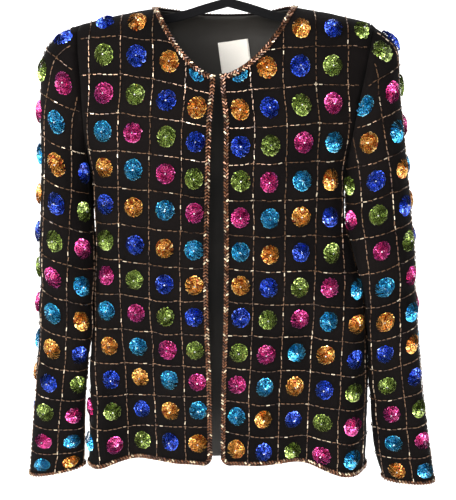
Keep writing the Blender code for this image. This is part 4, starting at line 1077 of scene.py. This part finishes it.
# %% Where the rosettes lie
ROSETTE_MARGIN = 0.0120      # least distance from a rosette's centre to its panel's edge
SLEEVE_MARGIN = 0.0060       # the same on a sleeve
NECK_MARGIN = 0.0010         # the same where the neck braid covers a part of a rosette
NECK_REACH = 0.050           # that holds this near the opening
NECK_FOOT = -0.235           # and above this level
SIDE_TOUCH_FOOT = -0.470     # above this level the sleeve lies on the side of a front
SIDE_TOUCH_ROOM = 0.026      # and rosettes of the front stay this far from the side seam
SLEEVE_ROSETTE_CLEAR = -0.002    # a sleeve's rosette may reach this far under the body's side
BACK_FIRST_COLOUR = 9
SLEEVE_FIRST_COLOUR = 3


def front_row_level(side, cells, line):
    """Pattern level of a level bead line of a front, counted from the top."""
    rises = [smooth_value(ROW_RISES[side], float(line), column) for column in range(1, 5)]
    rise = float(np.interp(cells, RISE_PLACES, rises))
    return FIRST_ROW_LEVEL + ROW_SHIFT[side] - CELL_HIGH * line + rise


def front_rosettes(side):
    for row in range(-1, BODY_ROWS):
        for column in range(6):
            cells = FIRST_ROSETTE[side] if column == 0 else FIRST_COLUMN[side] + column - 0.5
            along, level = cells * CELL_WIDE, front_row_level(side, cells, row + 0.5)
            beside_sleeve = SIDE_TOUCH_FOOT < level < UNDERARM_LEVEL
            if not beside_sleeve or front_length(side, level) - along > SIDE_TOUCH_ROOM:
                yield (along, level), SEQUIN_COLOURS[(row + column) % 5]


def back_rosettes():
    for row in range(-1, BODY_ROWS):
        for k in range(-5, 5):
            from_middle = k if k >= 0 else -k - 1
            centre = ((k + 0.5) * CELL_WIDE, FIRST_ROW_LEVEL + ROW_SHIFT[0] - CELL_HIGH * (row + 0.5))
            yield centre, SEQUIN_COLOURS[(row + BACK_FIRST_COLOUR - from_middle) % 5]


def sleeve_rosettes(side):
    for row in range(-1, int(CUFF_ROW)):
        for column in range(-1, 4):
            along = (column + sleeve_phase(side, row + 0.5)) * CELL_WIDE
            x, _, z = sleeve_raw_point(side, along, row + 0.5)
            if x - body_limit(side, z) > SLEEVE_ROSETTE_CLEAR:
                hue = SEQUIN_COLOURS[(SLEEVE_FIRST_COLOUR + row + column) % 5]
                yield (along, (row + 0.5) * SLEEVE_ROW), hue


def kept(outline, rosettes, margin=ROSETTE_MARGIN):
    """The rosettes whose centre lies far enough inside a panel. The edge may cut the rest of one."""
    found = list(rosettes)
    room = distance_inside(outline, [centre for centre, _ in found])
    needed = [NECK_MARGIN if v > NECK_FOOT and a < NECK_REACH else margin for (a, v), _ in found]
    return [rosette for rosette, space, least in zip(found, room, needed) if space > least]


def pressed(side):
    """A test for pattern points of a sleeve that lie against the side of the body."""
    def test(a, d):
        found = []
        for along, down in zip(a, d):
            x, _, z = sleeve_raw_point(side, float(along), round(float(down) / SLEEVE_ROW, 2))
            found.append(x < body_limit(side, z) + 0.001)
        return np.array(found)
    return test


panels = {}
for side, name in ((-1, "right"), (1, "left")):
    outline = front_outlines[side]
    panels[f"front_{name}"] = (front_nets[side], outline, kept(outline, front_rosettes(side)), None)
    outline = sleeve_outlines[side]
    panels[f"sleeve_{name}"] = (sleeve_nets[side], outline,
                                kept(outline, sleeve_rosettes(side), SLEEVE_MARGIN), pressed(side))
panels["back"] = (back_net, back_outline, kept(back_outline, back_rosettes()), None)
print("rosettes:", {name: len(found[2]) for name, found in panels.items()})

# %% Sew on the rosettes
parts = {name: [] for name in SEQUIN_COLOURS}
centres = []
seed = 100
for net, outline, rosettes, hidden in panels.values():
    for centre, hue in rosettes:
        seed += 1
        luck = np.random.default_rng(seed)
        nudge = luck.normal(0.0, 0.0007, 2)
        centre = (centre[0] + nudge[0], centre[1] + nudge[1])
        stretch = luck.normal(1.0, 0.025, 2)
        wide, high = ROSETTE_WIDE * stretch[0], ROSETTE_HIGH * stretch[1]
        parts[hue].append(sequin_frames(net, outline, hidden, centre, seed, wide, high))
        centres.append((net.at(*centre, ROSETTE_RISE + 0.0010), net.normal(*centre)))

for hue, groups in parts.items():
    places, x_way, y_way, z_way, tones = (np.concatenate(column) for column in zip(*groups))
    verts, faces = copies(SEQUIN_POINTS, SEQUIN_FACES, places, x_way, y_way, z_way)
    # each sequin's tone at its rim, with a painted shade in its cup
    tones_with_cup_shade = (tones[:, None] * SEQUIN_PAINTED_CUP_SHADE).ravel()
    item = add_object(f"sequins_{hue}", verts, faces, sequins[hue], tones_with_cup_shade, smooth=False)
    print(item.name, len(places), "sequins,", 2 * len(faces), "triangles")

# %% [markdown]
# Each rosette is finished with one bright bead. It sits in the last, smallest ring and catches a
# small white light. A share of these beads is also painted near-white, as a painted highlight.

# %% Centre beads
def ball(sides=8, rings=5):
    """A small round bead of unit radius."""
    points = [(0.0, 0.0, 1.0)]
    for k in range(1, rings):
        tilt = math.pi * k / rings
        points += [(math.sin(tilt) * math.cos(t), math.sin(tilt) * math.sin(t), math.cos(tilt))
                   for t in 2.0 * math.pi * np.arange(sides) / sides]
    points.append((0.0, 0.0, -1.0))
    faces = [(0, 1 + k, 1 + (k + 1) % sides) for k in range(sides)]
    for ring in range(rings - 2):
        first = 1 + ring * sides
        for k in range(sides):
            ahead = (k + 1) % sides
            faces.append((first + k, first + sides + k, first + sides + ahead, first + ahead))
    last, foot = 1 + (rings - 2) * sides, len(points) - 1
    faces += [(last + k, foot, last + (k + 1) % sides) for k in range(sides)]
    return np.array(points), faces


def frame_of(normals):
    """Two directions across each normal."""
    x_way = unit(np.cross(normals, np.array((0.0, 0.0, 1.0)) + normals[:, ::-1] * 0.01))
    return x_way, np.cross(normals, x_way)


CENTRE_BEAD_RADIUS = 0.0012
places = np.array([place for place, _ in centres])
normals = np.array([normal for _, normal in centres])
x_way, y_way = frame_of(normals)
bead_points, bead_faces = ball()
verts, faces = copies(bead_points * CENTRE_BEAD_RADIUS, bead_faces, places, x_way, y_way, normals)
crystal, tree, shader = principled("silver centre beads", Metallic=0.6, Roughness=0.08, Coat_Weight=1.0)
# the near-white Bright colour, on the beads of highest tone, is a painted highlight
bits = effect(tree, glint, Deep=colour(90, 90, 100), Body=colour(190, 190, 195), Bright=colour(250, 250, 250),
              Bright_Share=0.4)
tree.links.new(bits.outputs["Colour"], shader.inputs["Base Color"])
tones = np.repeat(dice.random(len(places)), len(bead_points))
add_object("centre_beads", verts, faces, crystal, tones)
print("centre beads:", len(places))

# %% [markdown]
# ## The windowpane of beads
# Bugle beads are short glass tubes. They are threaded end to end with a small round bead between
# them, and the thread is caught to the cloth at each crossing, so a level line sags a little between
# crossings. Each line is first drawn as a path on the pattern. Its length in space then says how
# many beads it takes.

# %% Bugle beads along a path
BUGLE_LENGTH = 0.0050
BUGLE_RADIUS = 0.00074
BEAD_PITCH = 0.0071
SEED_RADIUS = 0.00050


def tube(sides=6):
    """A short open bead: a prism along x, of unit length and radius."""
    ring = [(math.cos(t), math.sin(t)) for t in 2.0 * math.pi * np.arange(sides) / sides]
    points = np.array([(-0.5, y, z) for y, z in ring] + [(0.5, y, z) for y, z in ring])
    faces = [(k, (k + 1) % sides, sides + (k + 1) % sides, sides + k) for k in range(sides)]
    return points, faces + [tuple(reversed(range(sides))), tuple(range(sides, 2 * sides))]


def walk(net, path, pitch, start=0.5):
    """Places every pitch along a pattern path: pattern points and run directions."""
    path = np.asarray(path, float)
    steps = np.linalg.norm(np.diff(net.at(path[:, 0], path[:, 1]), axis=0), axis=1)
    length = np.concatenate(([0.0], np.cumsum(steps)))
    count = max(int(round(length[-1] / pitch)), 1)
    stops = (np.arange(count) + start) * length[-1] / count
    a, v = np.interp(stops, length, path[:, 0]), np.interp(stops, length, path[:, 1])
    da = np.interp(stops + 0.001, length, path[:, 0]) - np.interp(stops - 0.001, length, path[:, 0])
    dv = np.interp(stops + 0.001, length, path[:, 1]) - np.interp(stops - 0.001, length, path[:, 1])
    return a, v, da, dv


def bead_line(net, path, luck):
    """One thread of beads: (bugles, seeds), each as places and three directions."""
    a, v, da, dv = walk(net, path, BEAD_PITCH)
    stray = luck.normal(0.0, 0.00028, (2, len(a)))
    lift = BUGLE_RADIUS * 1.15 + luck.random(len(a)) * 0.0004
    run = net.along(a, v, da, dv)
    normal = net.normal(a, v)
    run = unit(run + np.cross(normal, run) * luck.normal(0.0, 0.07, len(a))[:, None]
               + normal * luck.normal(0.0, 0.05, len(a))[:, None])
    side_way = unit(np.cross(normal, run))
    length = BUGLE_LENGTH * luck.normal(1.0, 0.07, len(a))[:, None]
    fat = BUGLE_RADIUS * luck.normal(1.0, 0.06, len(a))[:, None]
    bugles = (net.at(a + stray[0], v + stray[1], lift), run * length, side_way * fat,
              np.cross(run, side_way) * fat)
    a, v, da, dv = walk(net, path, BEAD_PITCH, start=0.0)
    normal = net.normal(a, v)
    x_way, y_way = frame_of(normal)
    fat = SEED_RADIUS * luck.normal(1.0, 0.10, len(a))[:, None]
    seeds = (net.at(a, v, SEED_RADIUS * 1.1), x_way * fat, y_way * fat, normal * fat)
    return bugles, seeds


def inside_runs(outline, path, margin):
    """The stretches of a path that lie inside an outline."""
    room = distance_inside(outline, path) > margin
    runs, current = [], []
    for point, is_in in zip(path, room):
        if is_in:
            current.append(point)
        elif current:
            runs.append(current)
            current = []
    runs.append(current)
    return [run for run in runs if len(run) > 4]


LINE_MARGIN = 0.0042
PATH_STEP = 0.002
SAG = 0.0014
LINE_STRAY = 0.0007


def wander(line, seed):
    """A slow stray of a hand-laid line, as a function of the place along it."""
    return soft_waves(line, np.full(len(line), seed * 0.37), seed, 0.10) * LINE_STRAY


def level_line(along, level, crossings, seed, sag=SAG):
    """A level bead line that hangs down between its crossings."""
    gaps = np.sort(crossings)
    cell = np.clip(np.searchsorted(gaps, along), 1, len(gaps) - 1)
    share = (along - gaps[cell - 1]) / (gaps[cell] - gaps[cell - 1])
    drop = sag * np.clip(np.sin(math.pi * np.clip(share, 0.0, 1.0)), 0.0, 1.0) ** 0.6
    return np.stack((along, level + (wander(along, seed) - drop)), axis=1)


def upright_line(column, level, seed):
    return np.stack((column + wander(level, seed), level), axis=1)


body_levels = np.arange(-0.780, -0.040, PATH_STEP)


def body_lines(side, outline):
    """The level and upright bead lines of a front."""
    seed = 300 + 50 * side
    along = np.arange(0.0, max(a for a, _ in outline) + 0.01, PATH_STEP)
    crossings = [0.0] + [(FIRST_COLUMN[side] + k) * CELL_WIDE for k in range(7)]
    for line in range(BODY_ROWS):
        level = np.array([front_row_level(side, a / CELL_WIDE, line) for a in along])
        yield level_line(along, level, crossings, seed + line)
    for k in range(6):
        yield upright_line((FIRST_COLUMN[side] + k) * CELL_WIDE, body_levels, seed + 20 + k)


def back_lines():
    along = np.arange(-0.26, 0.26, PATH_STEP)
    crossings = [k * CELL_WIDE for k in range(-7, 8)]
    for line in range(BODY_ROWS):
        level = np.full(len(along), FIRST_ROW_LEVEL + ROW_SHIFT[0] - CELL_HIGH * line)
        yield level_line(along, level, crossings, 500 + line)
    for k in range(-6, 7):
        yield upright_line(k * CELL_WIDE, body_levels, 530 + k)


def sleeve_lines(side):
    """The bead lines of a sleeve, whose rows are counted downwards, so its sag is turned round."""
    along = np.arange(-0.16, 0.20, PATH_STEP)
    for row in range(int(CUFF_ROW)):
        crossings = [(k + 0.5 + sleeve_phase(side, row)) * CELL_WIDE for k in range(-5, 6)]
        yield level_line(along, row * SLEEVE_ROW, crossings, 600 + 40 * side + row, -SAG)
    down_sleeve = np.arange(-SLEEVE_ROW, CUFF_ROW * SLEEVE_ROW, PATH_STEP)
    phase = np.array([sleeve_phase(side, d / SLEEVE_ROW) for d in down_sleeve])
    for k in range(-4, 4):
        yield upright_line((k + 0.5 + phase) * CELL_WIDE, down_sleeve, 660 + 40 * side + k)


bugle_points, bugle_faces = tube()
seed_points, seed_faces = ball(6, 4)


def thread_beads(name, net, outline, paths):
    """All the bead lines of a panel, as one object of bugles and one of round beads."""
    luck = np.random.default_rng(len(name) * 31)
    bugles, seeds = [], []
    for path in paths:
        for run in inside_runs(outline, path, LINE_MARGIN):
            line_bugles, line_seeds = bead_line(net, run, luck)
            bugles.append(line_bugles)
            seeds.append(line_seeds)
    for kind, groups, points, faces, glass in (("bugles", bugles, bugle_points, bugle_faces, bugle_glass),
                                               ("round_beads", seeds, seed_points, seed_faces, round_glass)):
        parts = [np.concatenate(column) for column in zip(*groups)]
        verts, all_faces = copies(points, faces, *parts)
        tones = np.repeat(luck.random(len(parts[0])), len(points))
        item = add_object(f"{kind}_{name}", verts, all_faces, glass, tones, smooth=False)
        print(item.name, len(parts[0]), "beads")


for side, name in ((-1, "right"), (1, "left")):
    outline = front_outlines[side]
    thread_beads(f"front_{name}", front_nets[side], outline, body_lines(side, outline))
    thread_beads(f"sleeve_{name}", sleeve_nets[side], sleeve_outlines[side], sleeve_lines(side))
thread_beads("back", back_net, back_outline, back_lines())

# %% [markdown]
# ## The braid
# All edges carry a narrow plait of copper beads. A real one is made of strings of short beads that
# pass over and under each other. Two rows of beads on a dark tape, each slanting towards the other
# like an ear of wheat, look the same and never tangle. The tape's dark brown is painted shade for
# the gaps between the beads.

# %% Braid on every edge
BRAID_WIDE = 0.0070
BRAID_BEAD_LENGTH = 0.0040
BRAID_BEAD_RADIUS = 0.00118
BRAID_PITCH = 0.0043
BRAID_SLANT = math.radians(42.0)
# Rows of the plait: share of the width, slant, lift
BRAID_ROWS = ((0.27, 1.0, 0.0000), (0.73, -1.0, 0.0002))
BRAID_TAPE_LIFT = 0.0003
BRAID_TAPE_THICK = 0.0005
BRAID_BEAD_LIFT = 0.0011

# the tape is dark brown as painted shade for the gaps between the braid beads
braid_gap_shade_tape = woven("dark braid tape with painted gap shade", colour(14, 8, 6), colour(32, 20, 13), 0.0005, 0.3, 0.0001, 0.85,
                   Specular_IOR_Level=0.15)


def shifted(path, distance):
    """A pattern path moved sideways, towards the cloth."""
    run = unit(np.gradient(path, axis=0))
    return path + np.stack((run[:, 1], -run[:, 0]), axis=1) * distance


def lay_braid(name, node, net, path):
    """A braid along an edge path, on a tape, in place of a plain band of the solid model."""
    path = np.asarray(path, float)
    luck = np.random.default_rng(len(name) * 17)
    parts = []
    for share, slant, rise in BRAID_ROWS:
        a, v, da, dv = walk(net, shifted(path, BRAID_WIDE * share), BRAID_PITCH)
        normal = net.normal(a, v)
        run = net.along(a, v, da, dv)
        cross = np.cross(normal, run)
        lean = BRAID_SLANT * slant * luck.normal(1.0, 0.16, len(a))[:, None]
        tip = normal * luck.normal(0.0, 0.14, len(a))[:, None]
        bead_way = unit(run * np.cos(lean) + cross * np.sin(lean) + tip)
        side_way = unit(np.cross(normal, bead_way))
        length = BRAID_BEAD_LENGTH * luck.normal(1.0, 0.08, len(a))[:, None]
        fat = BRAID_BEAD_RADIUS * luck.normal(1.0, 0.07, len(a))[:, None]
        height = BRAID_BEAD_LIFT + rise + luck.random(len(a)) * 0.0003
        parts.append((net.at(a, v, height), bead_way * length, side_way * fat,
                      np.cross(bead_way, side_way) * fat))
    merged = [np.concatenate(column) for column in zip(*parts)]
    verts, faces = copies(bugle_points, bugle_faces, *merged)
    tones = np.repeat(luck.random(len(merged[0])), len(bugle_points))
    beads = add_object(f"braid_beads_{name}", verts, faces, braid_glass, tones, smooth=False)
    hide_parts(node)

    lines = [shifted(path, BRAID_WIDE * share) for share in (0.0, 0.5, 1.0)]
    verts = np.concatenate([net.at(line[:, 0], line[:, 1], height)
                            for height in (BRAID_TAPE_LIFT, BRAID_TAPE_LIFT + BRAID_TAPE_THICK)
                            for line in lines])
    count = len(path)
    order = (0, 1, 2, 5, 4, 3)
    faces = []
    for k in range(count - 1):
        for here, ahead in zip(order, order[1:] + order[:1]):
            faces.append((here * count + k, ahead * count + k, ahead * count + k + 1, here * count + k + 1))
    faces += [tuple(i * count for i in reversed(order)), tuple(i * count + count - 1 for i in order)]
    tape = add_object(f"braid_gap_shade_tape_{name}", verts, facing_out(verts, faces), braid_gap_shade_tape)
    print(beads.name, len(merged[0]), "beads")


for side, name in ((-1, "right"), (1, "left")):
    edges = front_edges(side)
    path = edges["seam"][-1:] + edges["hem"] + edges["opening"] + edges["neck"] + edges["shoulder"][:1]
    lay_braid(f"front_{name}", f"trim_front_{name}", front_nets[side], path)
    lay_braid(f"cuff_{name}", f"trim_cuff_{name}", sleeve_nets[side], sleeve_cuffs[side])
edges = back_edges()
lay_braid("back_neck", "trim_back_neck", back_net,
          edges["right shoulder"][-1:] + edges["neck"] + edges["left shoulder"][:1])
lay_braid("back_hem", "trim_back_hem", back_net,
          edges["left seam"][-1:] + edges["hem"] + edges["right seam"][:1])

# %% [markdown]
# ## Label and hanger
# The label is a blank woven rectangle, sewn inside the back neck. It is laid on the lining's net with
# a slight curl along its free edges. The hanger keeps its solid shape and takes its own finishes:
# its arms are flocked, which scatters light softly, and its hook is enamelled wire.

# %% Label
LABEL_CENTRE = (0.010, -0.162)
LABEL_SIZE = (0.042, 0.046)
LABEL_TILT = math.radians(8.0)
LABEL_THICK = 0.0006
LABEL_GAP = 0.0004
LABEL_STEPS = 13
under_label = -WALL - LINING_GAP - LINING_WALL - LABEL_GAP

share = np.linspace(-0.5, 0.5, LABEL_STEPS)
u, w = np.meshgrid(share, share, indexing="ij")
cosine, sine = math.cos(LABEL_TILT), math.sin(LABEL_TILT)
a = LABEL_CENTRE[0] + u * LABEL_SIZE[0] * cosine - w * LABEL_SIZE[1] * sine
v = LABEL_CENTRE[1] + u * LABEL_SIZE[0] * sine + w * LABEL_SIZE[1] * cosine
curl = 0.0009 * (2.0 * np.abs(u)) ** 4 + 0.0011 * np.clip(-w * 2.0, 0.0, 1.0) ** 4
verts = np.concatenate([back_net.at(a, v, under_label - curl - thick).reshape(-1, 3)
                        for thick in (0.0, LABEL_THICK)])
faces, sheet_count = [], LABEL_STEPS ** 2
for i in range(LABEL_STEPS - 1):
    for j in range(LABEL_STEPS - 1):
        k = i * LABEL_STEPS + j
        quad = (k, k + LABEL_STEPS, k + LABEL_STEPS + 1, k + 1)
        faces += [quad, tuple(sheet_count + n for n in reversed(quad))]
ring = (list(range(LABEL_STEPS)) + [i * LABEL_STEPS + LABEL_STEPS - 1 for i in range(1, LABEL_STEPS)]
        + [(LABEL_STEPS - 1) * LABEL_STEPS + j for j in range(LABEL_STEPS - 2, -1, -1)]
        + [i * LABEL_STEPS for i in range(LABEL_STEPS - 2, 0, -1)])
faces += [(here, ahead, sheet_count + ahead, sheet_count + here)
          for here, ahead in zip(ring, ring[1:] + ring[:1])]
label = add_object("neck_label", verts, facing_out(verts, faces), label_cloth)
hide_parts("label")
print("label of", LABEL_SIZE, "m")

# %% Hanger finishes
flock, tree, shader = principled("black flock", Roughness=0.9, Specular_IOR_Level=0.1,
                                 Sheen_Weight=0.04, Sheen_Roughness=0.5)
fibres = cloud_of(tree, 2200.0, 2.0)
shades = blend_colours(tree, fibres, colour(6, 6, 7), colour(18, 18, 20))
tree.links.new(shades, shader.inputs["Base Color"])
bump = add_node(tree, "ShaderNodeBump", {"Height": fibres, "Distance": 0.0002, "Strength": 0.7})
tree.links.new(bump.outputs["Normal"], shader.inputs["Normal"])

enamel, tree, shader = principled("black enamelled wire", Metallic=0.2, Coat_Weight=0.5,
                                  Coat_Roughness=0.15)
mottle = cloud_of(tree, 160.0, 3.0)
shades = blend_colours(tree, mottle, colour(12, 12, 13), colour(30, 30, 32))
tree.links.new(shades, shader.inputs["Base Color"])
tree.links.new(step_up(tree, mottle, 0.3, 0.7, 0.28, 0.42), shader.inputs["Roughness"])

for node, finish in (("hanger_arms", flock), ("hanger_hook", enamel)):
    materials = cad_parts[node].data.materials
    materials.clear()
    materials.append(finish)
print("hanger finished")

# %% [markdown]
# ## The studio
# The jacket was photographed straight on from a little above, in soft light from the left. A large
# light stands on that side, a weak one fills from the right, and a pale backdrop and floor close the
# picture. The surroundings stay fairly dark, so that the sequins have something dark to reflect and
# sparkle where they face a light.

# %% Backdrop, lights and camera
TARGET = Vector((0.0, -0.05, -0.415))
CAMERA_DISTANCE = 1.075
CAMERA_PITCH = math.radians(12.0)
FOCAL_PIXELS = 802.0
PICTURE_HIGH = 500.0
SENSOR = 36.0                # millimetres
FLOOR_LEVEL = -1.05
SWEEP_START, SWEEP_RADIUS = 0.9, 0.6     # where the floor turns up into the backdrop

paper, tree, shader = principled("pale studio paper", Roughness=0.95)
fleck = cloud_of(tree, 60.0, 2.0)
shades = blend_colours(tree, fleck, (0.93, 0.93, 0.93, 1), (0.96, 0.96, 0.96, 1))
tree.links.new(shades, shader.inputs["Base Color"])
shader.inputs["Emission Color"].default_value = (1.0, 1.0, 1.0, 1.0)
shader.inputs["Emission Strength"].default_value = 0.55

profile = [(-3.0, FLOOR_LEVEL), (SWEEP_START, FLOOR_LEVEL)]
profile += [(SWEEP_START + SWEEP_RADIUS * math.sin(t),
             FLOOR_LEVEL + SWEEP_RADIUS - SWEEP_RADIUS * math.cos(t))
            for t in np.linspace(0.1, math.pi / 2, 10)]
profile += [(SWEEP_START + SWEEP_RADIUS, 3.0)]
verts = [(x, y, z) for x in (-4.0, 4.0) for y, z in profile]
count = len(profile)
mesh = bpy.data.meshes.new("backdrop")
mesh.from_pydata(verts, [], [(k, count + k, count + k + 1, k + 1) for k in range(count - 1)])
mesh.shade_smooth()
mesh.materials.append(paper)
backdrop = bpy.data.objects.new("backdrop", mesh)
bpy.context.scene.collection.objects.link(backdrop)


def area_light(name, place, aim, size, watts, tint=(1.0, 1.0, 1.0)):
    lamp = bpy.data.lights.new(name, "AREA")
    lamp.shape = "RECTANGLE"
    lamp.size, lamp.size_y = size
    lamp.energy = watts
    lamp.color = tint
    item = bpy.data.objects.new(name, lamp)
    item.location = place
    item.rotation_euler = (Vector(aim) - Vector(place)).to_track_quat("-Z", "Y").to_euler()
    bpy.context.scene.collection.objects.link(item)


area_light("key", (-1.3, -1.5, 0.15), TARGET, (0.9, 1.4), 62.0, (1.0, 0.98, 0.95))
area_light("front", (-0.1, -2.2, 0.1), TARGET, (0.7, 0.7), 22.0)
area_light("fill", (1.7, -1.6, 0.0), TARGET, (0.7, 1.2), 8.0)
area_light("top", (0.0, -0.4, 1.5), TARGET, (1.0, 0.6), 10.0)

world = bpy.data.worlds.new("studio air")
world.use_nodes = True
world.node_tree.nodes["Background"].inputs["Color"].default_value = (0.5, 0.5, 0.52, 1.0)
world.node_tree.nodes["Background"].inputs["Strength"].default_value = 0.35
bpy.context.scene.world = world

lens = bpy.data.cameras.new("camera")
lens.sensor_width = SENSOR
lens.lens = FOCAL_PIXELS / PICTURE_HIGH * SENSOR
camera = bpy.data.objects.new("camera", lens)
back_away = Vector((0.0, -math.cos(CAMERA_PITCH), math.sin(CAMERA_PITCH)))
camera.location = TARGET + back_away * CAMERA_DISTANCE
camera.rotation_euler = (math.pi / 2.0 - CAMERA_PITCH, 0.0, 0.0)
bpy.context.scene.collection.objects.link(camera)
bpy.context.scene.camera = camera
bpy.context.scene.view_settings.view_transform = "Standard"
print("camera at", [round(c, 3) for c in camera.location])
